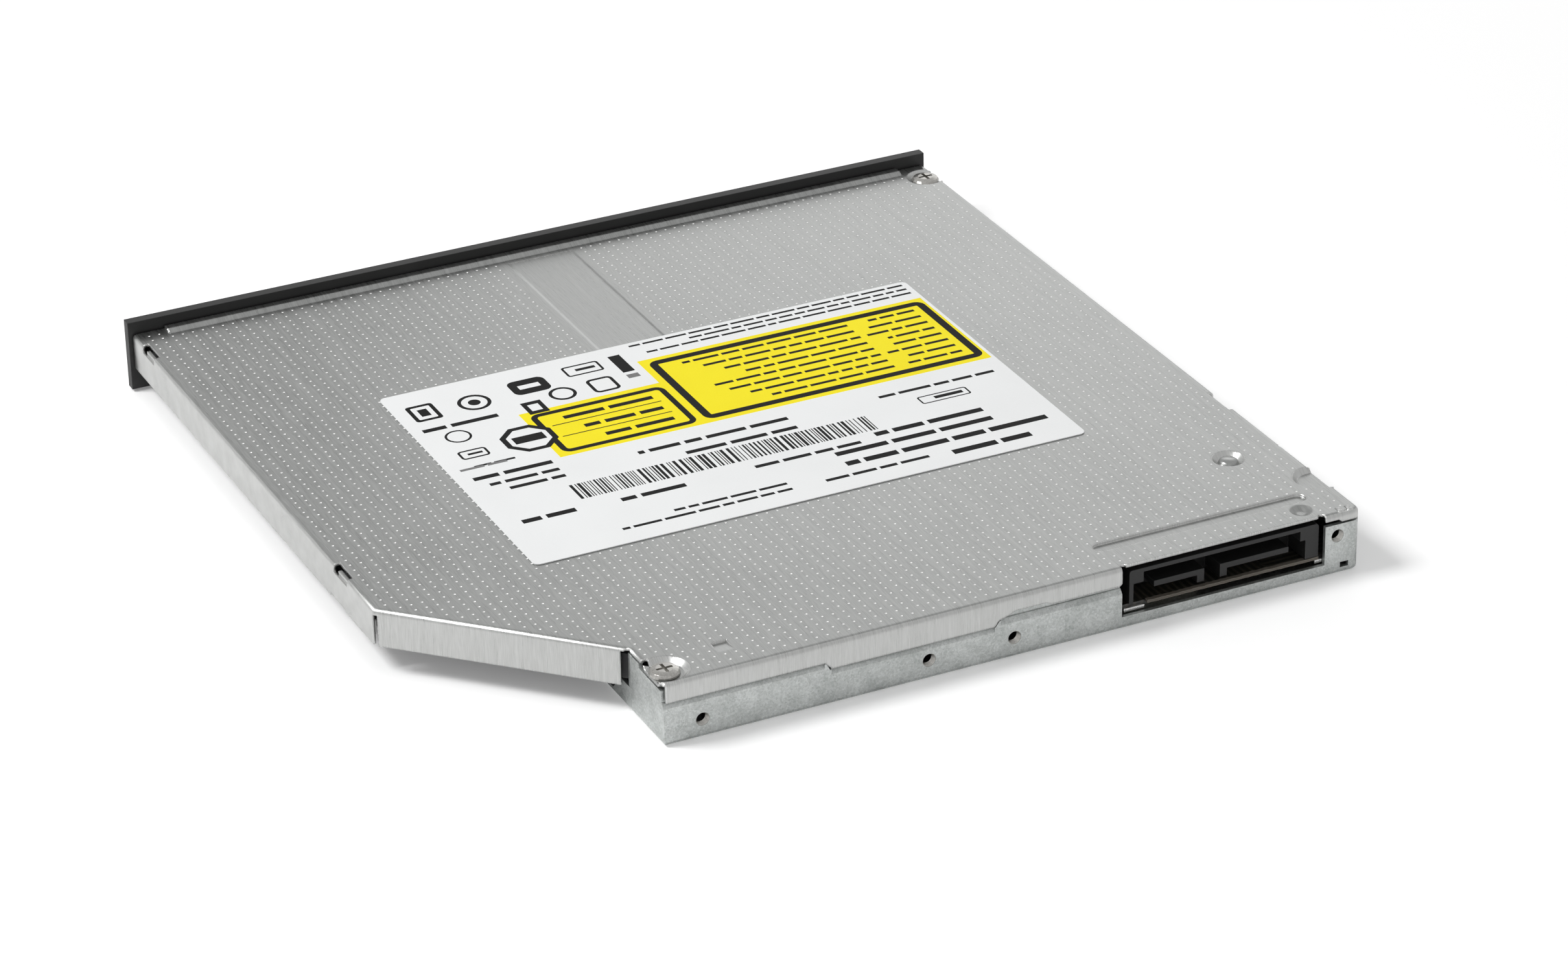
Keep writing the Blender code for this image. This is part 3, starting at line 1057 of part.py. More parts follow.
ROTOR_LOW = 3.5
TURNTABLE = 6.5


def build_rotor():
    """Rotor cup, turntable and hub that the disc snaps onto."""
    profile = [(0, 8.2), (HUB_R - 1.6, 8.2), (HUB_R - 0.5, 7.8), (HUB_R, 7.3), (HUB_R, TURNTABLE),
               (ROTOR_R, TURNTABLE), (ROTOR_R, ROTOR_LOW + 0.2), (ROTOR_R - 0.8, ROTOR_LOW),
               (ROTOR_R - 0.8, TURNTABLE - 0.8), (2.6, TURNTABLE - 0.8), (2.6, ROTOR_LOW), (1.9, ROTOR_LOW),
               (1.9, 3.9), (0, 3.9)]
    rotor = turned(profile, (0, 0, 0), sides=36, parent=UNIT)
    for turn in (60, 180, 300):
        slot = block(3.0, HUB_R + 1, -1.3, 1.3, TURNTABLE + 0.2, 9, UNIT)
        slot.data.transform(Matrix.Rotation(math.radians(turn), 4, "Z"))
        cut(rotor, slot)
    return finish(rotor, "spindle_rotor", COPPER)


def build_pad():
    """Rubber ring on the turntable."""
    low = TURNTABLE + SEAT
    profile = [(HUB_R + 1.2, low + 0.25), (ROTOR_R - 0.5, low + 0.25), (ROTOR_R - 0.5, low),
               (HUB_R + 1.2, low)]
    return finish(turned(profile + profile[:1], (0, 0, 0), sides=32, parent=UNIT), "disc_pad", RUBBER)


def build_claws():
    """Three sprung claws in the hub's slots."""
    claws = []
    for index, turn in enumerate((60, 180, 300), 1):
        low = TURNTABLE + 0.2 + RUN
        claw = prism([(4.2, low), (HUB_R + 0.1, low), (HUB_R + 0.5, 7.55), (HUB_R - 0.2, 8.0), (4.2, 8.0)],
                     -1.0, 1.0, "Y", UNIT)
        matrix = Matrix.Translation((-6.0 * MM, 0, -7.2 * MM))
        claw.data.transform(matrix)
        away = math.radians(turn)
        claw.location = (6.0 * MM * math.cos(away), 6.0 * MM * math.sin(away), 7.2 * MM)
        claw.rotation_euler = (0, 0, away)
        claws.append(finish(claw, f"clamp_claw_{index}", CREAM))
    return claws


def build_rods():
    """Two ground rods that guide the pickup."""
    rods = []
    for name, v in (("guide_rod_main", ROD_V), ("guide_rod_side", -ROD_V)):
        profile = [(0, ROD_U1), (ROD_R - 0.15, ROD_U1), (ROD_R, ROD_U1 - 0.2), (ROD_R, ROD_U0 + 0.2),
                   (ROD_R - 0.15, ROD_U0), (0, ROD_U0)]
        rods.append(finish(turned(profile, (0, v, ROD_Z), "X", 24, UNIT), name, ROD))
    return rods


def build_feed_motor():
    """Small stepping motor that turns the lead screw."""
    top = FRAME_Z - SEAT
    motor = block(4.6, 14.6, SCREW_V - 2.0, SCREW_V + 2.2, PLATE_TOP + RUN, top, UNIT)
    cut(motor, drum((0, 0, 0), STATOR_R + GAP, STATOR_R + GAP, 9, sides=48, parent=UNIT))
    cut(motor, block(12.6, 15.6, ROD_V - 3, ROD_V + 1.9 + GAP, 0, 9, UNIT))
    cut(motor, drum((13.6, SCREW_V, ROD_Z), JOURNAL_R + RUNNING, JOURNAL_R + RUNNING, 2, "X", 16, UNIT))
    return finish(motor, "feed_motor", COPPER)


def build_lead_screw():
    """Lead screw with a coarse thread, journals at both ends."""
    points = [(0, SCREW_U1 + 1.0), (JOURNAL_R, SCREW_U1 + 1.0), (JOURNAL_R, SCREW_U1), (SCREW_R, SCREW_U1)]
    u = SCREW_U1 - 0.8
    while u > SCREW_U0 + THREAD_PITCH:
        points += [(SCREW_R, u), (SCREW_R - 0.3, u - 0.35), (SCREW_R - 0.3, u - 0.75), (SCREW_R, u - 1.1)]
        u -= THREAD_PITCH
    points += [(SCREW_R, SCREW_U0), (JOURNAL_R, SCREW_U0), (JOURNAL_R, SCREW_U0 - 1.2), (0, SCREW_U0 - 1.2)]
    screw = turned(points, (0, 0, 0), "X", 12, UNIT)
    screw.location = (0, SCREW_V * MM, ROD_Z * MM)
    return finish(screw, "lead_screw", ROD)


def build_sled():
    """Cast pickup body that rides on the rods and follows the lead screw."""
    low = PLATE_TOP + RUN + 0.1
    top = DECK_UNDER - 0.5
    sled = prism([(SLED_U0, -SLED_HALF_V), (SLED_U1, -SLED_HALF_V), (SLED_U1, -9.5), (SLED_U1 + 0.5, -5),
                  (SLED_U1 + 0.5, 5), (SLED_U1, 9.5), (SLED_U1, SLED_HALF_V), (SLED_U0, SLED_HALF_V),
                  (SLED_U0, 9.8), (SLED_U0 + 1.3, 6.0), (SLED_U0 + 1.3, -6.0), (SLED_U0, -9.8)],
                 low, top, parent=UNIT)
    bore = ROD_R + RUNNING
    cut(sled, drum((0, ROD_V, ROD_Z), bore, bore, 60, "X", 20, UNIT))
    cut(sled, block(0, 60, -SLED_HALF_V - 1, -ROD_V + bore, ROD_Z - bore, ROD_Z + bore, UNIT))
    cut(sled, block(0, 60, -SLED_HALF_V - 1, -ROD_V - 1.0, 0, 9, UNIT))
    cut(sled, block(LENS_IN - 5.0, LENS_IN + 5.0, -6.4, 6.4, 3.4, 9, UNIT))
    join(sled, block(LENS_IN - 1.2, LENS_IN + 1.2, SLED_HALF_V - 0.4, SCREW_V - 1.1, 2.5, 3.5, UNIT))
    for side in (-1, 1):
        v0, v1 = sorted((side * 5.4, side * 6.2))
        join(sled, block(LENS_IN - 3.5, LENS_IN + 3.5, v0, v1, 3.2, 5.0, UNIT))
    return finish(sled, "pickup_sled", CAST)


def build_lens():
    """Lens holder with its objective lens, free to move up and down."""
    holder = block(LENS_IN - 3.4, LENS_IN + 3.4, -4.6, 4.6, 3.9, 5.3, UNIT)
    round_edges(holder, lambda middle, way: abs(way.z) > 0.9, 1.0, 2)
    join(holder, drum((LENS_IN, 0, 5.0), 2.9, 2.6, 0.75, sides=32, parent=UNIT))
    cut(holder, drum((LENS_IN, 0, 3), 1.6, 1.6, 5, sides=24, parent=UNIT))
    dome = [(0, 5.75), (0.8, 5.68), (1.35, 5.5), (1.65, 5.25), (1.65, 4.6), (0, 4.6)]
    join(holder, turned(dome, (LENS_IN, 0, 0), sides=24, parent=UNIT))
    return finish(holder, "objective_lens", GLASS)


def build_pickup_flex():
    """Thin flat cable between the pickup and the main board."""
    low = PLATE_TOP + 0.08
    strip = block(SLED_U0 + 3, 45.0, -8.0, 2.0, low, low + 0.1, UNIT)
    return finish(strip, "pickup_flex", FLEX)


# Lock, pusher and button

LEVER_AT = (16.0, 46.0)
LEVER_TAIL = 6.0
LEVER_LOW = 1.95
LEVER_TOP = 3.2
SOLENOID_X = 24.5
PLUNGER_R = 1.0
PUSHER_Y0 = 48.0
PUSHER_TRAVEL = 9.0


def build_lever():
    """Lock lever: its hook catches the post on the chassis."""
    x, y = LEVER_AT
    end = TRAY_REAR - 0.5
    arm = prism([(x - 1.3, y - LEVER_TAIL), (x + 1.3, y - LEVER_TAIL), (x + 1.3, end - 1.2),
                 (x + 3.9, end - 1.2), (x + 3.9, end - 0.7), (x + 2.6, end), (x - 1.3, end)],
                LEVER_LOW, LEVER_TOP)
    join(arm, drum((x, y, LEVER_LOW), 2.4, 2.4, LEVER_TOP - LEVER_LOW, sides=24))
    cut(arm, drum((x, y, 0), PIVOT_R + RUNNING, PIVOT_R + RUNNING, 9, sides=20))
    return finish(arm, "lock_lever", CREAM, (x, y, LEVER_LOW))


def build_lever_pivot():
    """Pin the lever turns on, under the main board."""
    x, y = LEVER_AT
    profile = [(0, BOARD_Z - SEAT), (1.6, BOARD_Z - SEAT), (1.6, LEVER_TOP + RUN), (PIVOT_R, LEVER_TOP + RUN),
               (PIVOT_R, PLATE_TOP + SEAT), (0, PLATE_TOP + SEAT)]
    return finish(turned(profile, (x, y, 0), sides=20), "lever_pivot", NICKEL, (x, y, LEVER_LOW))


def build_solenoid():
    """Coil box that pulls the lever's tail."""
    y = LEVER_AT[1] - LEVER_TAIL + 1.4
    body = block(SOLENOID_X, SOLENOID_X + 8.5, y - 2.4, y + 2.4, PLATE_TOP + RUN, CHIP_TOP)
    cut(body, drum((SOLENOID_X - 1, y, 3.1), PLUNGER_R + RUN, PLUNGER_R + RUN, 6, "X", 20))
    return finish(body, "lock_solenoid", COPPER)


def build_plunger():
    """Plunger of the solenoid."""
    x, y = LEVER_AT
    y -= LEVER_TAIL - 1.4
    start = x + 1.3 + 1.5
    profile = [(0, 10.5), (PLUNGER_R - 0.2, 10.5), (PLUNGER_R, 10.2), (PLUNGER_R, 0.2),
               (PLUNGER_R - 0.2, 0), (0, 0)]
    return finish(turned(profile, (start, y, 3.1), "X", 20), "solenoid_plunger", NICKEL, (start, y, 3.1))


def build_pusher():
    """Rod that pushes the released tray away from the rear wall."""
    length = REAR_IN - PAN_SHEET - GAP - PUSHER_Y0
    profile = [(0, length), (PUSHER_R - 0.4, length), (PUSHER_R, length - 0.4), (PUSHER_R, 1.5),
               (PUSHER_R + 0.3, 1.5), (PUSHER_R + 0.3, 0.9), (PUSHER_R - 0.5, 0.9),
               (PUSHER_R - 0.5, 0), (0, 0)]
    rod = turned(profile, (PUSHER_X, PUSHER_Y0, PUSHER_Z), "Y", 20)
    return finish(rod, "kick_pusher", CREAM, (PUSHER_X, PUSHER_Y0, PUSHER_Z))


def build_button():
    """Eject button with its flange and the stem that works the switch."""
    front = -DEPTH / 2 + 0.1
    flange = -DEPTH / 2 + 1.3
    x0 = BUTTON_X - BUTTON_HALF
    x1 = BUTTON_X + BUTTON_HALF
    z0 = BUTTON_Z - BUTTON_HALF_HIGH
    z1 = BUTTON_Z + BUTTON_HALF_HIGH
    button = block(x0, x1, front, flange + 0.3, z0, z1)
    round_edges(button, lambda middle, way: middle.y < front + 0.1, 0.3, 2)
    join(button, block(x0 - 0.7, x1 + 0.7, flange, flange + 0.3, z0 - 0.6, z1 + 0.6))
    join(button, block(BUTTON_X - 1, BUTTON_X + 1, flange + 0.1, -60.9, 3.6, BOARD_Z - GAP))
    return finish(button, "eject_button", BLACK, (BUTTON_X, front, BUTTON_Z))


# Build everything

build_cover()
build_chassis()
build_lock_pin()
build_label()
build_receptacle()
build_connector_board()
build_board_screw()
build_rear_socket()
build_flex_cable()
SCREW_SEAT = FIELD_TOP - SCREW_RECESS + SEAT
pan_screw("cover_screw_front_right", SCREW_FR, SCREW_SEAT, SCREW_HEAD_R, 0.75, SCREW_SHANK_R, 2.6, NICKEL)
pan_screw("cover_screw_rear_left", SCREW_RL, SCREW_SEAT, SCREW_HEAD_R, 0.75, SCREW_SHANK_R, 2.6, NICKEL)
build_rails()
build_tray()
build_bezel()
build_tray_plate()
build_plate_screws()
build_main_board()
build_chip("controller_chip", 24.0, -36.0, 8.0, 8.0, 1.0)
build_chip("driver_chip", 26.0, 18.0, 5.5, 4.0, 0.9)
build_chip("memory_chip", 6.0, 40.0, 5.0, 3.0, 0.9)
build_front_socket()
build_eject_switch()
build_led()
build_frame()
build_unit_cover()
build_dampers()
build_stator()
build_rotor()
build_pad()
build_claws()
build_rods()
build_feed_motor()
build_lead_screw()
build_sled()
build_lens()
build_pickup_flex()
build_lever()
build_lever_pivot()
build_solenoid()
build_plunger()
build_pusher()
build_button()
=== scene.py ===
"""Looks of a slim tray-loading optical drive, seen from behind and above.

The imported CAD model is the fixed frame. This script gives every part its finish, cuts the pattern
of small pits into the cover, prints the label, and adds the contact blades, threads, ribbons and
small fittings that the solids leave out. Lengths in the classes are in millimetres.
"""

import logging
import math
import random
from collections.abc import Sequence
from dataclasses import dataclass, field
from enum import Enum

import bmesh
import bpy
import numpy as np
from mathutils import Matrix, Vector
from mathutils.geometry import delaunay_2d_cdt

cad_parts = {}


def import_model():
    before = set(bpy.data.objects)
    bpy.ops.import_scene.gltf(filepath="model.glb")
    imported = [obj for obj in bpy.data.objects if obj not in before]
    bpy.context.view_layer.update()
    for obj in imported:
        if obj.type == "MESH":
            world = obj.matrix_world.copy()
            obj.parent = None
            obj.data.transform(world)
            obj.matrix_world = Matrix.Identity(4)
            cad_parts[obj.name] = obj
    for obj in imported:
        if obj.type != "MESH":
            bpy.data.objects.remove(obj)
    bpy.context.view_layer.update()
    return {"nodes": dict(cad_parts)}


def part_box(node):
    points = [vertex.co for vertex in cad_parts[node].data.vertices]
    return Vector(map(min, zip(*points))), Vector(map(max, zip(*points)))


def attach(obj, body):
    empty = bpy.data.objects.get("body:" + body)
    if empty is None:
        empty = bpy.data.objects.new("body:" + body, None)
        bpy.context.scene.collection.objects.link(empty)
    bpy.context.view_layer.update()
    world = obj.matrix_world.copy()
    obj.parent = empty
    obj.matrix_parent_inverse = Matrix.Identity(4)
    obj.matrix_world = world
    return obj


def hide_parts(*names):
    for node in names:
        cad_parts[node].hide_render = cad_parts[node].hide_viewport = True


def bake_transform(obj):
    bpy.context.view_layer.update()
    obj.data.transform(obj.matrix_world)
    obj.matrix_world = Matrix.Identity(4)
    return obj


MM = 0.001
LOG = logging.getLogger("optical_drive")
BEVEL_SAMPLES = 4
JOIN_REACH = 1e-5
SHARP_EDGE = (0.02, 0.3)
WHITE = (1.0, 1.0, 1.0)

Colour = tuple[float, float, float]
Place = tuple[float, float, float]
Point = tuple[float, float]


class Grain(Enum):
    """Way in which a part was rolled or cast: fineness of its grain along each axis."""

    LENGTHWAYS = (1.0, 0.03, 0.03)
    SMEARED = (1.0, 0.4, 1.0)
    CLOUDY = (1.0, 1.0, 1.0)


class Wire:
    """An output socket of a node graph that takes part in Python arithmetic."""

    def __init__(self, graph: "Graph", socket: bpy.types.NodeSocket) -> None:
        """Keeps the graph and the socket."""
        self.graph = graph
        self.socket = socket

    def _math(self, operation: str, first: object, second: object) -> "Wire":
        """Adds one Math node.

        Args:
            operation: The node's operation.
            first: A wire or a number.
            second: A wire or a number.

        Returns:
            The result as a wire.
        """
        settings = {"operation": operation}
        node = self.graph.node("ShaderNodeMath", settings, {0: first, 1: second})
        return Wire(self.graph, node.outputs[0])

    def __add__(self, other: object) -> "Wire":
        """Sum."""
        return self._math("ADD", self, other)

    def __radd__(self, other: object) -> "Wire":
        """Sum with a number on the left."""
        return self._math("ADD", other, self)

    def __sub__(self, other: object) -> "Wire":
        """Difference."""
        return self._math("SUBTRACT", self, other)

    def __rsub__(self, other: object) -> "Wire":
        """Difference from a number on the left."""
        return self._math("SUBTRACT", other, self)

    def __mul__(self, other: object) -> "Wire":
        """Product."""
        return self._math("MULTIPLY", self, other)

    def __rmul__(self, other: object) -> "Wire":
        """Product with a number on the left."""
        return self._math("MULTIPLY", other, self)

    def __gt__(self, other: object) -> "Wire":
        """One where this wire is the larger, else zero."""
        return self._math("GREATER_THAN", self, other)

    def __abs__(self) -> "Wire":
        """Size without its sign."""
        return self._math("ABSOLUTE", self, 0.0)

    def wrapped(self, period: float) -> "Wire":
        """The rest of a division by a period, always positive."""
        return self._math("FLOORED_MODULO", self, period)

    def lifted(self, low: float, high: float) -> "Wire":
        """Stretches the values from low to high over 0 to 1 and clips them there.

        Args:
            low: Value that becomes 0.
            high: Value that becomes 1.

        Returns:
            The stretched wire.
        """
        sockets = {"Value": self, "From Min": low, "From Max": high}
        node = self.graph.node("ShaderNodeMapRange", {"clamp": True}, sockets)
        return Wire(self.graph, node.outputs["Result"])


class Graph:
    """A node tree with one way to add a node."""

    def __init__(self, tree: bpy.types.NodeTree) -> None:
        """Keeps the tree."""
        self.tree = tree

    def node(
        self,
        kind: str,
        settings: dict[str, object] | None = None,
        sockets: dict[int | str, object] | None = None,
    ) -> bpy.types.ShaderNode:
        """Adds a node, sets it up, and then fills or links its sockets.

        Args:
            kind: Blender's type name of the node.
            settings: Properties of the node, and "stops" for a colour ramp.
            sockets: Values, wires or output sockets by input name or index.

        Returns:
            The new node.
        """
        made = self.tree.nodes.new(kind)
        for name, value in (settings or {}).items():
            if name != "stops":
                setattr(made, name, value)
                continue
            elements = made.color_ramp.elements
            while len(elements) < len(value):
                elements.new(1.0)
            for element, (position, colour) in zip(elements, value):
                element.position = position
                element.color = (*colour, 1.0)
        for key, value in (sockets or {}).items():
            self.fill(made.inputs[key], value)
        return made

    def fill(self, socket: bpy.types.NodeSocket, value: object) -> None:
        """Links an input socket, or sets its own value.

        Args:
            socket: Input of a node.
            value: Wire, output socket or plain value, which has three numbers if it is a colour.
        """
        if isinstance(value, Wire):
            value = value.socket
        if isinstance(value, bpy.types.NodeSocket):
            self.tree.links.new(value, socket)
        elif isinstance(value, tuple) and socket.type == "RGBA":
            socket.default_value = (*value, 1.0)
        else:
            socket.default_value = value


class Shader(Graph):
    """The node graph of one opaque or clear material."""

    def __init__(self, name: str) -> None:
        """Starts a material with a bare Principled shader.

        Args:
            name: Name of the material.
        """
        self.material = bpy.data.materials.new(name)
        self.material.use_nodes = True
        super().__init__(self.material.node_tree)
        self.surface = self.tree.nodes["Principled BSDF"]
        self.place = self.node("ShaderNodeTexCoord").outputs["Object"]

    def axis(self, letter: str) -> Wire:
        """One coordinate of the place on the object, in millimetres."""
        split = self.node("ShaderNodeSeparateXYZ", None, {"Vector": self.place})
        return Wire(self, split.outputs[letter]) * (1 / MM)

    def noise(
        self,
        size: float,
        grain: Grain = Grain.CLOUDY,
        detail: float = 3.0,
        rough: float = 0.55,
    ) -> Wire:
        """Cloudy noise.

        Args:
            size: Size of the clouds in millimetres.
            grain: Way in which the noise is stretched.
            detail: Octaves of finer noise.
            rough: Share that each finer octave keeps.

        Returns:
            Values round one half.
        """
        stretch = {"Vector": self.place, "Scale": grain.value}
        where = self.node("ShaderNodeMapping", None, stretch).outputs["Vector"]
        sockets = {"Vector": where, "Scale": 1 / (size * MM), "Detail": detail, "Roughness": rough}
        return Wire(self, self.node("ShaderNodeTexNoise", None, sockets).outputs[0])

    def cells(self, size: float) -> Wire:
        """Crystal-like cells, each with its own brightness.

        Args:
            size: Size of a cell in millimetres.

        Returns:
            Values from 0 to 1.
        """
        sockets = {"Vector": self.place, "Scale": 1 / (size * MM)}
        colour = self.node("ShaderNodeTexVoronoi", {"feature": "F1"}, sockets).outputs["Color"]
        return Wire(self, self.node("ShaderNodeRGBToBW", None, {"Color": colour}).outputs[0])

    @staticmethod
    def weighed(parts: Sequence[Wire], shares: Sequence[float]) -> Wire:
        """Adds up wires, each times its share.

        Args:
            parts: Wires.
            shares: One number for each wire.

        Returns:
            The sum.
        """
        total = parts[0] * shares[0]
        for part, share in zip(parts[1:], shares[1:]):
            total = total + part * share
        return total

    def mixed(self, share: object, first: object, second: object) -> bpy.types.NodeSocket:
        """Blends two colours.

        Args:
            share: Wire or number, 0 for the first colour and 1 for the second.
            first: Colour or output socket.
            second: Colour or output socket.

        Returns:
            The blended colour's socket.
        """
        settings = {"data_type": "RGBA", "blend_type": "MIX"}
        node = self.node("ShaderNodeMix", settings, {0: share, 6: first, 7: second})
        return node.outputs[2]

    def worn(self, radius: float) -> tuple[bpy.types.NodeSocket, Wire]:
        """Rounds the look of edges.

        Args:
            radius: Radius of the rounding in millimetres.

        Returns:
            The rounded normal, and a mask that is 1 on sharp edges.
        """
        settings = {"samples": BEVEL_SAMPLES}
        soft = self.node("ShaderNodeBevel", settings, {"Radius": radius * MM}).outputs[0]
        flat = self.node("ShaderNodeNewGeometry").outputs["Normal"]
        settings = {"operation": "DOT_PRODUCT"}
        product = self.node("ShaderNodeVectorMath", settings, {0: soft, 1: flat})
        return soft, (1 - Wire(self, product.outputs["Value"])).lifted(*SHARP_EDGE)

    def relief(
        self,
        height: Wire,
        depth: float,
        normal: bpy.types.NodeSocket | None = None,
    ) -> None:
        """Feeds a bump to the surface.

        Args:
            height: Height map, 0 to 1.
            depth: Height of the relief in millimetres.
            normal: A rounded normal to start from.
        """
        sockets = {"Height": height, "Distance": depth * MM, "Strength": 1.0}
        if normal is not None:
            sockets["Normal"] = normal
        bump = self.node("ShaderNodeBump", None, sockets)
        self.tree.links.new(bump.outputs["Normal"], self.surface.inputs["Normal"])

    def dress(self, **sockets: object) -> bpy.types.Material:
        """Sets the surface's own sockets.

        Args:
            **sockets: Wires, output sockets or plain values, by name with _ for a space.

        Returns:
            The finished material.
        """
        for name, value in sockets.items():
            self.fill(self.surface.inputs[name.replace("_", " ")], value)
        return self.material


@dataclass(frozen=True)
class BrushedSteel:
    """Rolled stainless sheet with fine streaks, and near-white edges that are partly rubbed wear
    and partly a painted highlight.
    """

    name: str
    dark: Colour = (0.300, 0.306, 0.300)
    light: Colour = (0.440, 0.446, 0.438)
    # Edge colour: partly rubbed wear, partly a painted highlight along the bends.
    rubbed: Colour = (0.92, 0.92, 0.91)
    roughness: float = 0.26
    streak: float = 0.075
    band: float = 0.5
    cloud: float = 26.0
    depth: float = 0.0045
    edge_radius: float = 0.22
    shares: Place = (0.55, 0.3, 0.15)
    contrast: Point = (0.36, 0.64)
    edge_lightening: float = 0.7
    dulling: float = 0.10
    polish: float = 0.06

    def material(self) -> bpy.types.Material:
        """Builds the material."""
        shader = Shader(self.name)
        streaks = shader.noise(self.streak, Grain.LENGTHWAYS, 2.0)
        bands = shader.noise(self.band, Grain.LENGTHWAYS)
        clouds = shader.noise(self.cloud, detail=2.0)
        tone = shader.weighed((streaks, bands, clouds), self.shares).lifted(*self.contrast)
        soft, edge = shader.worn(self.edge_radius)
        sheet = shader.mixed(tone, self.dark, self.light)
        shader.relief(streaks * 0.7 + bands * 0.3, self.depth, soft)
        # Sharp edges are mixed towards the near-white edge colour, partly rubbed wear and partly a
        # painted highlight.
        return shader.dress(
            Base_Color=shader.mixed(edge * self.edge_lightening, sheet, self.rubbed),
            Roughness=tone * self.dulling + (self.roughness - edge * self.polish),
            Metallic=1.0,
        )


@dataclass(frozen=True)
class GalvanisedSteel:
    """Zinc-coated sheet with small spangles and a dusty bloom."""

    name: str
    dark: Colour = (0.36, 0.38, 0.37)
    light: Colour = (0.68, 0.70, 0.69)
    rubbed: Colour = (0.84, 0.85, 0.84)
    roughness: float = 0.38
    spangle: float = 0.26
    speckle: float = 0.13
    cloud: float = 3.0
    depth: float = 0.010
    edge_radius: float = 0.12
    shares: Place = (0.22, 0.36, 0.42)
    contrast: Point = (0.3, 0.68)
    edge_lightening: float = 0.5
    dulling: float = 0.14
    metal: float = 0.92

    def material(self) -> bpy.types.Material:
        """Builds the material."""
        shader = Shader(self.name)
        crystals = shader.cells(self.spangle)
        specks = shader.noise(self.speckle, detail=2.0)
        clouds = shader.noise(self.cloud, detail=4.0)
        tone = shader.weighed((crystals, specks, clouds), self.shares).lifted(*self.contrast)
        soft, edge = shader.worn(self.edge_radius)
        sheet = shader.mixed(tone, self.dark, self.light)
        shader.relief(specks * 0.6 + crystals * 0.4, self.depth, soft)
        return shader.dress(
            Base_Color=shader.mixed(edge * self.edge_lightening, sheet, self.rubbed),
            Roughness=self.roughness + tone * self.dulling,
            Metallic=self.metal,
        )


@dataclass(frozen=True)
class PlatedMetal:
    """Plated, ground or cast metal of the small parts."""

    name: str
    dark: Colour
    light: Colour
    roughness: float = 0.25
    size: float = 0.3
    depth: float = 0.002
    edge_radius: float = 0.06
    stain: float = 14.0
    shares: Place = (0.6, 0.4, 0.3)
    contrast: Point = (0.33, 0.72)
    dulling: float = 0.12

    def material(self) -> bpy.types.Material:
        """Builds the material."""
        shader = Shader(self.name)
        cast = shader.noise(self.size)
        stains = shader.noise(self.size * self.stain, detail=2.0)
        soft, edge = shader.worn(self.edge_radius)
        tone = shader.weighed((cast, stains, edge), self.shares).lifted(*self.contrast)
        shader.relief(cast, self.depth, soft)
        return shader.dress(
            Base_Color=shader.mixed(tone, self.dark, self.light),
            Roughness=self.roughness + cast * self.dulling,
            Metallic=1.0,
        )


@dataclass(frozen=True)
class MouldedPlastic:
    """Injection-moulded plastic with a fine eroded texture and paler rubbed edges."""

    name: str
    colour: Colour
    rubbed: Colour
    roughness: float = 0.45
    texture: float = 0.11
    depth: float = 0.008
    edge_radius: float = 0.15
    flow: float = 9.0
    shares: Place = (0.7, 0.35, 0.2)
    dulling: float = 0.12
    polish: float = 0.1

    def material(self) -> bpy.types.Material:
        """Builds the material."""
        shader = Shader(self.name)
        pits = shader.noise(self.texture, detail=2.0)
        flow = shader.noise(self.flow)
        soft, edge = shader.worn(self.edge_radius)
        shader.relief(pits, self.depth, soft)
        tone = shader.weighed((edge, flow - 0.5, pits - 0.5), self.shares).lifted(0.0, 1.0)
        return shader.dress(
            Base_Color=shader.mixed(tone, self.colour, self.rubbed),
            Roughness=self.roughness + flow * self.dulling - edge * self.polish,
            Specular_IOR_Level=0.5,
        )


@dataclass(frozen=True)
class LabelFilm:
    """One colour of the printed sticker: coated film with faint mottle."""

    name: str
    colour: Colour
    shade: Colour
    roughness: float = 0.46
    gloss: float = 0.28
    fibre: float = 0.25
    mottle: float = 11.0
    depth: float = 0.0012
    shares: Point = (0.45, 0.55)
    contrast: Point = (0.42, 0.95)
    dulling: float = 0.1

    def material(self) -> bpy.types.Material:
        """Builds the material."""
        shader = Shader(self.name)
        fibres = shader.noise(self.fibre)
        mottle = shader.noise(self.mottle)
        tone = shader.weighed((fibres, mottle), self.shares).lifted(*self.contrast)
        shader.relief(fibres, self.depth)
        return shader.dress(
            Base_Color=shader.mixed(tone, self.colour, self.shade),
            Roughness=self.roughness + fibres * self.dulling,
            Specular_IOR_Level=self.gloss,
            Coat_Weight=0.03,
        )


@dataclass(frozen=True)
class SolderMask:
    """Varnished circuit board with copper tracks under the varnish."""

    name: str
    board: Colour = (0.012, 0.075, 0.040)
    track: Colour = (0.030, 0.150, 0.075)
    pitch: float = 0.8
    width: float = 0.17
    patch: float = 7.5
    wander: float = 6.0
    soft_side: float = 0.05
    speck: float = 0.2
    depth: float = 0.02

    def material(self) -> bpy.types.Material:
        """Builds the material."""
        shader = Shader(self.name)
        patches = shader.cells(self.patch)
        turn = patches > 0.5
        bend = shader.noise(self.wander, detail=1.0) * self.pitch
        along = abs((shader.axis("X") + bend).wrapped(self.pitch) - self.pitch / 2)
        across = abs((shader.axis("Y") + bend).wrapped(self.pitch) - self.pitch / 2)
        either = along * turn + across * (1 - turn)
        tracks = 1 - either.lifted(self.width, self.width + self.soft_side)
        specks = shader.noise(self.speck, detail=2.0)
        shader.relief(tracks * 0.8 + specks * 0.2, self.depth)
        return shader.dress(
            Base_Color=shader.mixed(tracks, self.board, self.track),
            Roughness=specks * 0.12 + 0.26,
            Coat_Weight=0.4,
        )


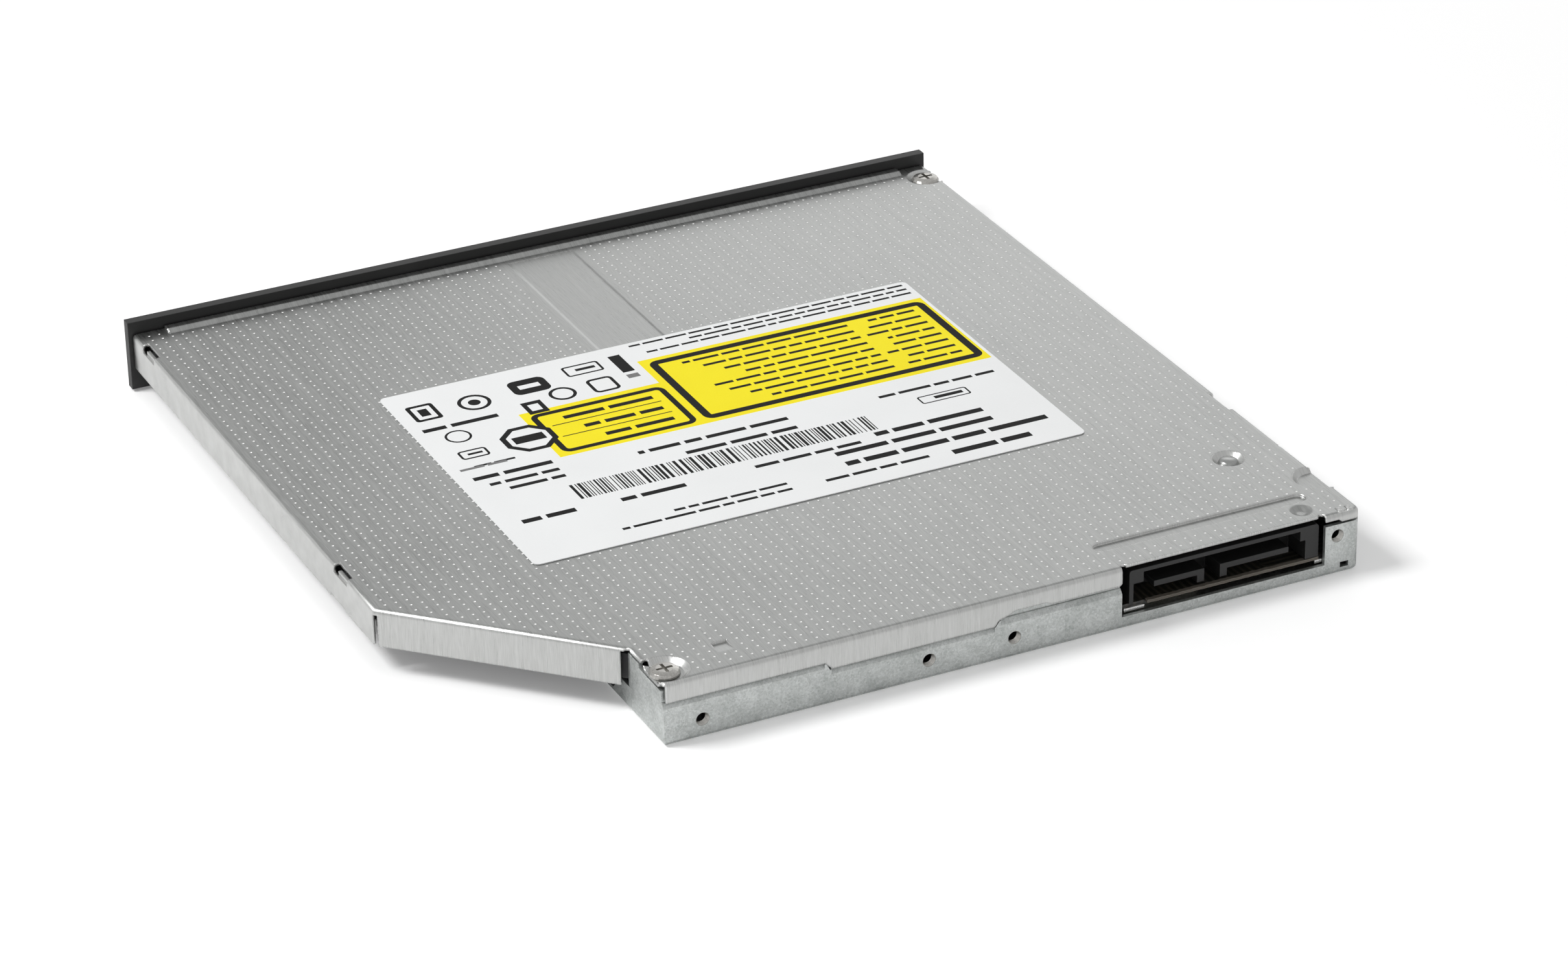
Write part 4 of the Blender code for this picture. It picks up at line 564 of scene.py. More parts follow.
@dataclass(frozen=True)
class ChipResin:
    """Moulded black resin of the packages."""

    name: str
    colour: Colour = (0.016, 0.016, 0.017)
    dust: Colour = (0.050, 0.050, 0.052)
    grain: float = 0.09
    smear: float = 2.5
    shares: Place = (0.4, 0.4, 0.4)
    contrast: Point = (0.3, 0.95)
    depth: float = 0.006
    edge_radius: float = 0.08

    def material(self) -> bpy.types.Material:
        """Builds the material."""
        shader = Shader(self.name)
        grain = shader.noise(self.grain)
        smear = shader.noise(self.smear, Grain.SMEARED)
        soft, edge = shader.worn(self.edge_radius)
        shader.relief(grain, self.depth, soft)
        tone = shader.weighed((grain, smear, edge), self.shares).lifted(*self.contrast)
        return shader.dress(
            Base_Color=shader.mixed(tone, self.colour, self.dust),
            Roughness=0.55 + smear * 0.2,
        )


@dataclass(frozen=True)
class ConductorFilm:
    """Amber film with copper conductors that run along the ribbon."""

    name: str
    across: Point = (1.0, 0.0)
    pitch: float = 0.5
    film: Colour = (0.34, 0.15, 0.03)
    copper: Colour = (0.62, 0.33, 0.12)
    line_edge: Point = (0.26, 0.34)
    haze: float = 3.0
    depth: float = 0.02

    def material(self) -> bpy.types.Material:
        """Builds the material."""
        shader = Shader(self.name)
        side = shader.axis("X") * self.across[0] + shader.axis("Y") * self.across[1]
        line = abs(side.wrapped(self.pitch) - self.pitch / 2)
        lines = 1 - line.lifted(*(self.pitch * share for share in self.line_edge))
        haze = shader.noise(self.haze)
        tone = lines * 0.8 + haze * 0.2
        shader.relief(tone, self.depth)
        return shader.dress(
            Base_Color=shader.mixed(tone, self.film, self.copper),
            Roughness=haze * 0.15 + 0.22,
            Metallic=lines * 0.35,
            Coat_Weight=0.5,
        )


@dataclass(frozen=True)
class SoftRubber:
    """Damper rubber and the disc pad."""

    name: str
    colour: Colour = (0.020, 0.020, 0.021)
    bloom: Colour = (0.075, 0.075, 0.072)
    skin: float = 0.15
    patch: float = 1.8
    depth: float = 0.01
    contrast: Point = (0.35, 0.8)

    def material(self) -> bpy.types.Material:
        """Builds the material."""
        shader = Shader(self.name)
        skin = shader.noise(self.skin)
        bloom = shader.noise(self.patch, detail=4.0).lifted(*self.contrast)
        shader.relief(skin, self.depth)
        return shader.dress(
            Base_Color=shader.mixed(bloom, self.colour, self.bloom),
            Roughness=0.68 + skin * 0.2,
            Sheen_Weight=0.2,
        )


@dataclass(frozen=True)
class ClearPlastic:
    """Lens and light guide: clear, with a tint and faint smears."""

    name: str
    tint: Colour
    smear: Colour
    clearness: float = 0.85
    roughness: float = 0.03
    patch: float = 0.8
    depth: float = 0.0015
    contrast: Point = (0.3, 0.8)

    def material(self) -> bpy.types.Material:
        """Builds the material."""
        shader = Shader(self.name)
        smears = shader.noise(self.patch)
        shader.relief(smears, self.depth)
        return shader.dress(
            Base_Color=shader.mixed(smears.lifted(*self.contrast), self.tint, self.smear),
            Roughness=self.roughness + smears * 0.08,
            Transmission_Weight=self.clearness,
            IOR=1.5,
            Coat_Weight=0.6,
        )


class Stock(Enum):
    """Finishes that the parts are made in."""

    # The wide edge radius on the cover steels also widens the near-white painted highlight along
    # the bends.
    COVER = BrushedSteel("brushed_cover_steel", edge_radius=0.38)
    # Pit steel coloured near white, far paler than the cover: a painted highlight for the light the
    # pits catch.
    COVER_PIT_PAINTED_HIGHLIGHT = PlatedMetal("pit_steel_painted_highlight", (0.88, 0.88, 0.87), (0.98, 0.98, 0.97), 0.46, 0.2)
    # Lighter copy of the cover steel for its flanges, bends and the corner latch: painted light, a
    # lit copy of the same sheet.
    COVER_SIDE_PAINTED_LIGHT = BrushedSteel(
        "cover_side_painted_light", (0.49, 0.495, 0.485), (0.62, 0.625, 0.615), edge_radius=0.38
    )
    RAIL = BrushedSteel("rolled_rail_steel", (0.34, 0.34, 0.335), (0.5, 0.5, 0.49), roughness=0.26)
    CHASSIS = GalvanisedSteel("spangled_chassis_steel")
    PLATE = GalvanisedSteel("tray_plate_steel", (0.36, 0.36, 0.35), (0.52, 0.52, 0.51), spangle=1.6)
    NICKEL = PlatedMetal("nickel_screw_plating", (0.36, 0.35, 0.33), (0.62, 0.61, 0.58), 0.24, 0.2)
    GROUND = PlatedMetal("ground_rod_steel", (0.5, 0.5, 0.5), (0.75, 0.75, 0.75), 0.12, 0.1)
    CAST = PlatedMetal("die_cast_alloy", (0.33, 0.33, 0.34), (0.53, 0.53, 0.54), 0.42, 0.35, 0.01)
    MOTOR = PlatedMetal("drawn_motor_can", (0.42, 0.41, 0.39), (0.66, 0.65, 0.62), 0.22, 0.25)
    GOLD = PlatedMetal("gold_contact_plating", (0.78, 0.53, 0.18), (0.95, 0.72, 0.32), 0.2, 0.12)
    TIN = PlatedMetal("tinned_solder", (0.48, 0.48, 0.47), (0.72, 0.72, 0.71), 0.28, 0.15, 0.004)
    WIRE = PlatedMetal("varnished_copper_wire", (0.42, 0.15, 0.05), (0.72, 0.33, 0.13), 0.28, 0.1)
    BLACK = MouldedPlastic("black_bezel_moulding", (0.012, 0.012, 0.012), (0.075, 0.075, 0.075))
    TRAY = MouldedPlastic(
        "grey_tray_moulding", (0.040, 0.041, 0.043), (0.11, 0.11, 0.115), 0.5, 0.16
    )
    RECEPTACLE = MouldedPlastic(
        "receptacle_moulding", (0.011, 0.011, 0.011), (0.10, 0.10, 0.10), 0.38, 0.09, 0.004
    )
    NYLON = MouldedPlastic(
        "socket_nylon", (0.70, 0.67, 0.58), (0.85, 0.83, 0.76), 0.4, 0.1, 0.004
    )
    LATCH = MouldedPlastic("brown_latch_nylon", (0.05, 0.028, 0.016), (0.13, 0.09, 0.06), 0.4)
    BOARD = SolderMask("green_solder_mask")
    BOARD_EDGE = SolderMask("dark_board_mask", (0.012, 0.012, 0.010), (0.040, 0.037, 0.030), 1.0)
    BOARD_CUT = MouldedPlastic(
        "rough_cut_board", (0.10, 0.088, 0.072), (0.42, 0.39, 0.34), 0.6, 0.45, 0.02
    )
    RESIN = ChipResin("chip_resin")
    RIBBON = ConductorFilm("main_ribbon_film")
    PICKUP_RIBBON = ConductorFilm("pickup_ribbon_film", (0.7071, -0.7071), 0.4)
    RUBBER = SoftRubber("damper_rubber_skin")
    PAD = SoftRubber("disc_pad_rubber", (0.03, 0.03, 0.031), (0.085, 0.085, 0.086))
    LENS = ClearPlastic("coated_lens", (0.62, 0.72, 0.95), (0.50, 0.42, 0.85))
    GUIDE = ClearPlastic("light_guide_resin", (0.80, 0.90, 0.80), (0.65, 0.80, 0.68), 0.5, 0.2)
    PAPER = LabelFilm("label_white", (0.85, 0.86, 0.86), (0.79, 0.80, 0.80))
    YELLOW = LabelFilm("label_yellow", (0.94, 0.80, 0.006), (0.88, 0.72, 0.004), 0.5, 0.14)
    INK = LabelFilm("label_black_ink", (0.004, 0.004, 0.004), (0.012, 0.012, 0.012), 0.6, 0.12)
    GREY_INK = LabelFilm("label_grey_ink", (0.16, 0.16, 0.16), (0.26, 0.26, 0.26), 0.5, 0.15)


class Finishes:
    """Builds each finish once, when a part first asks for it."""

    def __init__(self) -> None:
        """Starts with no material made."""
        self.made: dict[Stock, bpy.types.Material] = {}

    def get(self, stock: Stock) -> bpy.types.Material:
        """The material of a stock."""
        if stock not in self.made:
            self.made[stock] = stock.value.material()
        return self.made[stock]

    def dress(self, thing: bpy.types.Object, *stocks: Stock) -> bpy.types.Object:
        """Gives an object one material slot for each stock named.

        Args:
            thing: Mesh object, a CAD node or a piece of this script.
            *stocks: Finishes in the order of the faces' material numbers.

        Returns:
            The same object.
        """
        slots = thing.data.materials
        while len(slots) > len(stocks):
            slots.pop()
        while len(slots) < len(stocks):
            slots.append(None)
        for number, stock in enumerate(stocks):
            slots[number] = self.get(stock)
        return thing


@dataclass(frozen=True)
class Lamp:
    """A square softbox that looks at the drive."""

    name: str
    place: Place
    size: float
    watts: float
    aim: Place = (0.0, 0.0, 0.005)

    def hang(self) -> bpy.types.Object:
        """Adds the lamp to the scene and returns it."""
        data = bpy.data.lights.new(self.name, "AREA")
        data.shape = "SQUARE"
        data.size = self.size
        data.energy = self.watts
        lamp = bpy.data.objects.new(self.name, data)
        lamp.location = self.place
        sight = Vector(self.aim) - Vector(self.place)
        lamp.rotation_euler = sight.to_track_quat("-Z", "Y").to_euler()
        bpy.context.scene.collection.objects.link(lamp)
        return lamp


@dataclass
class Studio:
    """Pale floor, even white surround, softboxes and the camera. Sizes here are in metres."""

    floor_size: float = 6.0
    floor_drop: float = 0.00003
    touch_gap: float = 0.0003
    floor_colour: Colour = (0.97, 0.97, 0.97)
    floor_roughness: float = 0.85
    dust: float = 40.0
    dust_share: float = 0.1
    lit_radius: float = 0.12
    faded_radius: float = 0.28
    surround: float = 0.46
    sheen: float = 0.64
    floor_lift: float = 0.15
    eye: Place = (0.26551, 0.57761, 0.32919)
    eye_right: Place = (-0.89905, 0.43756, -0.01605)
    eye_down: Place = (0.21537, 0.41002, -0.88628)
    focal_length: float = 118.38
    nearest: float = 0.01
    lamps: tuple[Lamp, ...] = (
        Lamp("key_softbox", (0.60, -0.20, 0.78), 0.34, 6.6),
        Lamp("far_softbox", (-0.95, -1.42, 0.57), 0.8, 1.8),
        Lamp("near_softbox", (0.45, 1.25, 0.45), 0.9, 1.3),
    )

    def build(self) -> None:
        """Builds the whole set."""
        self.lay_floor()
        self.fill_surround()
        for lamp in self.lamps:
            lamp.hang()
        self.set_camera()
        bpy.context.scene.view_settings.view_transform = "Standard"

    def lay_floor(self) -> None:
        """Floor that catches the shadow, is plain white further out and clear from below."""
        half = self.floor_size / 2
        mesh = bpy.data.meshes.new("studio_floor")
        corners = rectangle((-half, -half), (half, half))
        mesh.from_pydata([(x, y, -self.floor_drop) for x, y in corners], [], [(0, 1, 2, 3)])
        floor = bpy.data.objects.new("studio_floor", mesh)
        bpy.context.scene.collection.objects.link(floor)
        shader = Shader("floor_card")
        dust = shader.noise(self.dust) * self.dust_share
        shader.dress(Base_Color=self.floor_colour, Roughness=self.floor_roughness + dust)
        rays = shader.node("ShaderNodeLightPath")
        lift = Wire(shader, rays.outputs["Is Camera Ray"]) * self.floor_lift
        glow = shader.node("ShaderNodeEmission", None, {"Strength": lift}).outputs[0]
        sockets = {0: shader.surface.outputs[0], 1: glow}
        near = shader.node("ShaderNodeAddShader", None, sockets).outputs[0]
        white = shader.node("ShaderNodeEmission", None, {"Color": WHITE}).outputs[0]
        length = shader.node("ShaderNodeVectorMath", {"operation": "LENGTH"}, {0: shader.place})
        far = Wire(shader, length.outputs["Value"]).lifted(self.lit_radius, self.faded_radius)
        card = shader.node("ShaderNodeMixShader", None, {0: far, 1: near, 2: white}).outputs[0]
        back = Wire(shader, shader.node("ShaderNodeNewGeometry").outputs["Backfacing"])
        long_ray = Wire(shader, rays.outputs["Ray Length"]) > self.touch_gap
        hidden = 1 - (1 - back) * long_ray
        clear = shader.node("ShaderNodeBsdfTransparent", None, {"Color": WHITE}).outputs[0]
        seen = shader.node("ShaderNodeMixShader", None, {0: hidden, 1: card, 2: clear}).outputs[0]
        shader.fill(shader.tree.nodes["Material Output"].inputs["Surface"], seen)
        mesh.materials.append(shader.material)

    def fill_surround(self) -> None:
        """World that lights evenly, and is plain white to the eye."""
        world = bpy.data.worlds.new("white_surround")
        world.use_nodes = True
        bpy.context.scene.world = world
        graph = Graph(world.node_tree)
        rays = graph.node("ShaderNodeLightPath")
        seen = (
            Wire(graph, rays.outputs["Is Camera Ray"])
            + Wire(graph, rays.outputs["Is Transmission Ray"])
            + Wire(graph, rays.outputs["Is Glossy Ray"]) * self.glossy_share()
        ).lifted(0.0, 1.0)
        background = graph.tree.nodes["Background"].inputs
        graph.fill(background["Color"], WHITE)
        graph.fill(background["Strength"], seen * (1.0 - self.surround) + self.surround)

    def glossy_share(self) -> float:
        """Part of the way from the plain surround to white that reflections see."""
        return (self.sheen - self.surround) / (1.0 - self.surround)

    def set_camera(self) -> None:
        """Camera at the photograph's place and turn."""
        data = bpy.data.cameras.new("photo_camera")
        data.lens = self.focal_length
        data.clip_start = self.nearest
        camera = bpy.data.objects.new("photo_camera", data)
        right = Vector(self.eye_right).normalized()
        down = Vector(self.eye_down)
        down = (down - right * down.dot(right)).normalized()
        forward = right.cross(down)
        turn = Matrix((right, -down, -forward)).transposed().to_4x4()
        camera.matrix_world = Matrix.Translation(self.eye) @ turn
        bpy.context.scene.collection.objects.link(camera)
        bpy.context.scene.camera = camera


class Meshwork:
    """A mesh being built in millimetres."""

    def __init__(self) -> None:
        """Starts empty."""
        self.mesh = bmesh.new()

    def box(self, low: Sequence[float], high: Sequence[float]) -> None:
        """Adds a box.

        Args:
            low: Lowest corner.
            high: Highest corner.
        """
        size = [b - a for a, b in zip(low, high)]
        middle = [(a + b) / 2 for a, b in zip(low, high)]
        matrix = Matrix.Translation(middle) @ Matrix.Diagonal((*size, 1.0))
        bmesh.ops.create_cube(self.mesh, size=1.0, matrix=matrix)

    def bridge(self, rings: Sequence[Sequence[Sequence[float]]]) -> list[list[bmesh.types.BMVert]]:
        """Joins closed rings of points one after another.

        Args:
            rings: Rings with the same number of points each.

        Returns:
            The corners of each ring.
        """
        rows = [[self.mesh.verts.new(point) for point in ring] for ring in rings]
        count = len(rows[0])
        for lower, upper in zip(rows, rows[1:]):
            for i in range(count):
                j = (i + 1) % count
                self.mesh.faces.new((lower[i], lower[j], upper[j], upper[i]))
        return rows

    def skin(self, rings: Sequence[Sequence[Sequence[float]]]) -> None:
        """Joins closed rings of points, and closes both ends.

        Args:
            rings: Rings with the same number of points each.
        """
        rows = self.bridge(rings)
        self.mesh.faces.new(list(reversed(rows[0])))
        self.mesh.faces.new(rows[-1])

    def ribbon(self, pairs: Sequence[tuple[Place, Place]]) -> None:
        """Adds an open strip.

        Args:
            pairs: Both edges of the strip at each place along it.
        """
        rows = [[self.mesh.verts.new(point) for point in pair] for pair in pairs]
        for (a, b), (c, d) in zip(rows, rows[1:]):
            self.mesh.faces.new((a, b, d, c))

    def rod(
        self,
        start: Sequence[float],
        end: Sequence[float],
        radius: float,
        sides: int = 16,
        tip: float | None = None,
    ) -> None:
        """Adds a round bar or a cone.

        Args:
            start: Middle of one end.
            end: Middle of the other end.
            radius: Radius at the start.
            sides: Number of flat sides.
            tip: Radius at the end, if it isn't the same.
        """
        begin, finish = Vector(start), Vector(end)
        turn = (finish - begin).to_track_quat("Z", "Y")
        rings = []
        for centre, size in ((begin, radius), (finish, radius if tip is None else tip)):
            outline = polygon((0.0, 0.0), size, sides)
            rings.append([centre + turn @ Vector((x, y, 0)) for x, y in outline])
        self.skin(rings)

    def lathe(
        self,
        centre: Sequence[float],
        profile: Sequence[Point],
        axis: str = "Z",
        sides: int = 32,
    ) -> None:
        """Adds an open surface of revolution.

        Args:
            centre: A place on the axis; the profile's distances count from it.
            profile: Pairs of a radius and a distance along the axis.
            axis: Letter of the axis, Y or Z.
            sides: Number of flat sides.
        """
        rings = []
        for radius, along in profile:
            outline = polygon((0.0, 0.0), radius, sides)
            offsets = [(a, b, along) if axis == "Z" else (a, along, b) for a, b in outline]
            rings.append([[c + o for c, o in zip(centre, offset)] for offset in offsets])
        self.bridge(rings)

    def finish(self, name: str, sharp: float = 35.0, bevel: float = 0.0) -> bpy.types.Object:
        """Turns the mesh into an object in metres.

        Args:
            name: Name of the object.
            sharp: Angle in degrees above which an edge stays sharp.
            bevel: Width in millimetres of a small round on every sharp edge.

        Returns:
            The object, linked to the scene.
        """
        if bevel > 0:
            edges = [
                edge
                for edge in self.mesh.edges
                if edge.is_manifold and edge.calc_face_angle(0.0) > math.radians(sharp)
            ]
            round_edge = {"offset": bevel, "segments": 2, "profile": 0.5, "clamp_overlap": True}
            bmesh.ops.bevel(self.mesh, geom=edges, affect="EDGES", **round_edge)
        bmesh.ops.recalc_face_normals(self.mesh, faces=self.mesh.faces)
        bmesh.ops.scale(self.mesh, vec=(MM, MM, MM), verts=self.mesh.verts)
        mesh = bpy.data.meshes.new(name)
        self.mesh.to_mesh(mesh)
        self.mesh.free()
        mesh.shade_smooth()
        mesh.set_sharp_from_angle(angle=math.radians(sharp))
        thing = bpy.data.objects.new(name, mesh)
        bpy.context.scene.collection.objects.link(thing)
        LOG.info("piece %s: %d faces", name, len(mesh.polygons))
        return thing


def rounded(low: Point, high: Point, radius: float, steps: int = 5) -> list[Point]:
    """Outline of a rectangle with rounded corners.

    Args:
        low: Lowest corner.
        high: Highest corner.
        radius: Radius of the corners.
        steps: Straight pieces in each corner.

    Returns:
        Corners, counterclockwise.
    """
    centres = (
        (high[0] - radius, high[1] - radius),
        (low[0] + radius, high[1] - radius),
        (low[0] + radius, low[1] + radius),
        (high[0] - radius, low[1] + radius),
    )
    outline = []
    for quarter, (x, y) in enumerate(centres):
        for i in range(steps + 1):
            angle = math.radians(90 * (quarter + i / steps))
            outline.append((x + radius * math.cos(angle), y + radius * math.sin(angle)))
    return outline


def rectangle(low: Point, high: Point) -> list[Point]:
    """Outline of a rectangle.

    Args:
        low: Lowest corner.
        high: Highest corner.

    Returns:
        Corners, counterclockwise.
    """
    return [low, (high[0], low[1]), high, (low[0], high[1])]


def polygon(centre: Point, radius: float, sides: int, turn: float = 0.0) -> list[Point]:
    """Outline with equal sides.

    Args:
        centre: Middle.
        radius: Distance of the corners from the middle.
        sides: Number of sides.
        turn: Direction of the first corner in degrees.

    Returns:
        Corners, counterclockwise.
    """
    angles = [math.radians(turn) + math.tau * i / sides for i in range(sides)]
    return [(centre[0] + radius * math.cos(a), centre[1] + radius * math.sin(a)) for a in angles]


def inside(points: np.ndarray, starts: np.ndarray, ends: np.ndarray) -> np.ndarray:
    """Tells which points lie inside closed outlines, by the even-odd rule.

    Args:
        points: Points, one per row.
        starts: First end of each outline edge.
        ends: Second end of each outline edge.

    Returns:
        One truth value for each point.
    """
    found = np.zeros(len(points), bool)
    x, y = points[:, 0], points[:, 1]
    for (ax, ay), (bx, by) in zip(starts, ends):
        if ay == by:
            continue
        spans = (ay > y) != (by > y)
        crossing = ax + (y - ay) * (bx - ax) / (by - ay)
        found ^= spans & (x < crossing)
    return found


@dataclass
class DottedCover:
    """Steel cover whose flat top carries a square grid of small pressed pits."""

    nodes: dict[str, bpy.types.Object]
    finishes: Finishes
    pitch: float = 1.52
    first_x: float = 61.5
    first_y: float = -62.15
    columns: int = 83
    rows: int = 84
    rim: float = 0.17
    waist: float = 0.085
    depth: float = 0.07
    sides: int = 6
    margin: float = 0.32
    bare_low: Point = (-3.9, -58.9)
    bare_high: Point = (6.5, -20.0)
    under_label: float = 0.6
    band_sides: tuple[Point, ...] = ((6.5, -0.40), (-3.9, 0.22))
    band_reach: float = 0.02
    weld: float = 0.005
    levels: float = 50.0
    level: float = 0.999
    flat: float = 0.9999
    # Faces whose upward normal part is below this get the lighter cover steel, which is painted
    # light.
    bend: float = 0.8
    sharp: float = 40.0
    waist_depth: float = 0.75
    pit_share: float = 0.75

    def ease_band(self, cover: bmesh.types.BMesh) -> None:
        """Turns the upright sides of the shallow smooth band into ramps.

        Args:
            cover: The cover's mesh, in metres.
        """
        label_low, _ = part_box("rating_label")
        for side, shift in self.band_sides:
            near = [
                vert
                for vert in cover.verts
                if abs(vert.co.x / MM - side) < self.band_reach and vert.co.z > label_low.z - MM
            ]
            floor = min((vert.co.z for vert in near), default=0.0)
            for vert in near:
                if vert.co.z - floor < self.weld * MM:
                    vert.co.x += shift * MM

    def build(self) -> bpy.types.Object:
        """Builds the cover with its pits.

        Returns:
            The cover, which stands for the CAD node of the same part.
        """
        cover = bmesh.new()
        cover.from_mesh(self.nodes["top_cover"].data)
        bmesh.ops.remove_doubles(cover, verts=cover.verts, dist=self.weld * MM)
        self.ease_band(cover)
        top = self.find_top(cover)
        height = top[0].verts[0].co.z / MM
        starts, ends = self.outline(top)
        bmesh.ops.delete(cover, geom=top, context="FACES")
        dots = self.choose_dots(starts, ends)
        flat = self.cut(cover, starts, ends, dots, height)
        bmesh.ops.remove_doubles(cover, verts=cover.verts, dist=self.weld * MM)
        mesh = bpy.data.meshes.new("dotted_cover")
        cover.to_mesh(mesh)
        cover.free()
        if "custom_normal" in mesh.attributes:
            mesh.attributes.remove(mesh.attributes["custom_normal"])
        mesh.shade_smooth()
        mesh.set_sharp_from_angle(angle=math.radians(self.sharp))
        normals = np.zeros(len(mesh.polygons) * 3, np.float32)
        mesh.polygons.foreach_get("normal", normals)
        numbers = np.zeros(len(mesh.polygons), np.int32)
        mesh.polygons.foreach_get("material_index", numbers)
        upright = normals.reshape(-1, 3)[:, 2]
        mesh.polygons.foreach_set("use_smooth", (upright < self.flat) | (numbers == 1))
        # Steep faces get finish 2, the lighter cover steel: painted light on the flanges and bends.
        numbers[(np.abs(upright) < self.bend) & (numbers == 0)] = 2
        mesh.polygons.foreach_set("material_index", numbers)
        piece = bpy.data.objects.new("dotted_cover", mesh)
        bpy.context.scene.collection.objects.link(piece)
        # Finish 1 colours the pits near white as a painted highlight, and finish 2 colours the
        # steep faces lighter as painted light.
        self.finishes.dress(piece, Stock.COVER, Stock.COVER_PIT_PAINTED_HIGHLIGHT, Stock.COVER_SIDE_PAINTED_LIGHT)
        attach(piece, "chassis")
        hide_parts("top_cover")
        LOG.info("cover: %d pits, %d faces, %d flat", len(dots), len(mesh.polygons), flat)
        return piece

    def find_top(self, cover: bmesh.types.BMesh) -> list[bmesh.types.BMFace]:
        """Finds the large flat top.

        Args:
            cover: The cover's mesh.

        Returns:
            The faces of the level that has the largest area.
        """
        levels: dict[int, list[bmesh.types.BMFace]] = {}
        for face in cover.faces:
            if face.normal.z > self.level:
                key = round(face.calc_center_median().z / MM * self.levels)
                levels.setdefault(key, []).append(face)
        return max(levels.values(), key=lambda faces: sum(face.calc_area() for face in faces))

    def outline(self, top: list[bmesh.types.BMFace]) -> tuple[np.ndarray, np.ndarray]:
        """Finds the edges round the flat top and round its openings.

        Args:
            top: Faces of the flat top.

        Returns:
            First and second ends of the edges in millimetres.
        """
        chosen = set(top)
        starts, ends = [], []
        for face in top:
            for edge in face.edges:
                if sum(other in chosen for other in edge.link_faces) == 1:
                    starts.append([c / MM for c in edge.verts[0].co[:2]])
                    ends.append([c / MM for c in edge.verts[1].co[:2]])
        return np.array(starts), np.array(ends)

    def choose_dots(self, starts: np.ndarray, ends: np.ndarray) -> np.ndarray:
        """Chooses the grid places that get a pit.

        Args:
            starts: First ends of the outline's edges.
            ends: Second ends of the outline's edges.

        Returns:
            Centres of the pits.
        """
        grid_x = self.first_x - self.pitch * np.arange(self.columns)
        grid_y = self.first_y + self.pitch * np.arange(self.rows)
        places = np.stack(np.meshgrid(grid_x, grid_y), -1).reshape(-1, 2)
        places = places[inside(places, starts, ends)]
        along = ends - starts
        squared = (along**2).sum(1)
        offset = places[:, None, :] - starts[None]
        share = np.clip((offset * along[None]).sum(2) / squared[None], 0, 1)
        gaps = np.linalg.norm(offset - share[..., None] * along[None], axis=2)
        keep = gaps.min(1) > self.rim + self.margin
        label_low, label_high = (np.array(corner[:2]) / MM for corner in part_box("rating_label"))
        edge = self.under_label
        for low, high in ((self.bare_low, self.bare_high), (label_low + edge, label_high - edge)):
            keep &= ~((places > low) & (places < high)).all(1)
        return places[keep]

    def cut(
        self,
        cover: bmesh.types.BMesh,
        starts: np.ndarray,
        ends: np.ndarray,
        dots: np.ndarray,
        height: float,
    ) -> int:
        """Fills the top with flat faces round the pits, and sinks the pits.

        Args:
            cover: The cover without its flat top.
            starts: First ends of the outline's edges.
            ends: Second ends of the outline's edges.
            dots: Centres of the pits.
            height: Level of the flat top.

        Returns:
            Number of flat faces made.
        """
        angles = math.tau * (np.arange(self.sides) + 0.5) / self.sides
        circle = np.stack([np.cos(angles), np.sin(angles)], 1)
        rims = dots[:, None, :] + self.rim * circle[None]
        points = [Vector(p) for p in np.concatenate([starts, ends, rims.reshape(-1, 2)])]
        count = len(starts)
        edges = [(i, i + count) for i in range(count)]
        for k in range(len(dots)):
            first = 2 * count + k * self.sides
            edges += [(first + i, first + (i + 1) % self.sides) for i in range(self.sides)]
        found, _, faces, origins, _, _ = delaunay_2d_cdt(points, edges, [], 0, JOIN_REACH)
        spots = np.array([tuple(p) for p in found])
        triangles = np.array([tuple(f) for f in faces])
        centres = spots[triangles].mean(1)
        column = np.rint((self.first_x - centres[:, 0]) / self.pitch)
        row = np.rint((centres[:, 1] - self.first_y) / self.pitch)
        nearest = np.stack([self.first_x - column * self.pitch, self.first_y + row * self.pitch], 1)
        close = np.linalg.norm(centres - nearest, axis=1) < self.rim * self.pit_share
        taken = {(round(x, 3), round(y, 3)) for x, y in dots}
        pitted = np.array([(round(x, 3), round(y, 3)) in taken for x, y in nearest])
        keep = inside(centres, starts, ends) & ~(close & pitted)
        verts = [cover.verts.new((x * MM, y * MM, height * MM)) for x, y in spots]
        for triangle in triangles[keep]:
            cover.faces.new([verts[i] for i in triangle])
        at = {origin: i for i, group in enumerate(origins) for origin in group}
        waist_z = (height - self.depth * self.waist_depth) * MM
        for k, (x, y) in enumerate(dots):
            first = 2 * count + k * self.sides
            rim = [verts[at[first + i]] for i in range(self.sides)]
            waist = [
                cover.verts.new(((x + self.waist * c) * MM, (y + self.waist * s) * MM, waist_z))
                for c, s in circle
            ]
            floor = cover.verts.new((x * MM, y * MM, (height - self.depth) * MM))
            # Pit faces take finish 1, the near-white pit steel that is a painted highlight.
            for i in range(self.sides):
                j = (i + 1) % self.sides
                for ring in ((rim[i], rim[j], waist[j], waist[i]), (waist[i], waist[j], floor)):
                    cover.faces.new(ring).material_index = 1
        return int(keep.sum())


class Ink(Enum):
    """Printing colours of the label, by finish number."""

    PAPER = 0
    YELLOW = 1
    BLACK = 2
    GREY = 3


@dataclass(frozen=True)
class Mark:
    """One printed shape of the label."""

    outline: tuple[Point, ...]
    ink: Ink


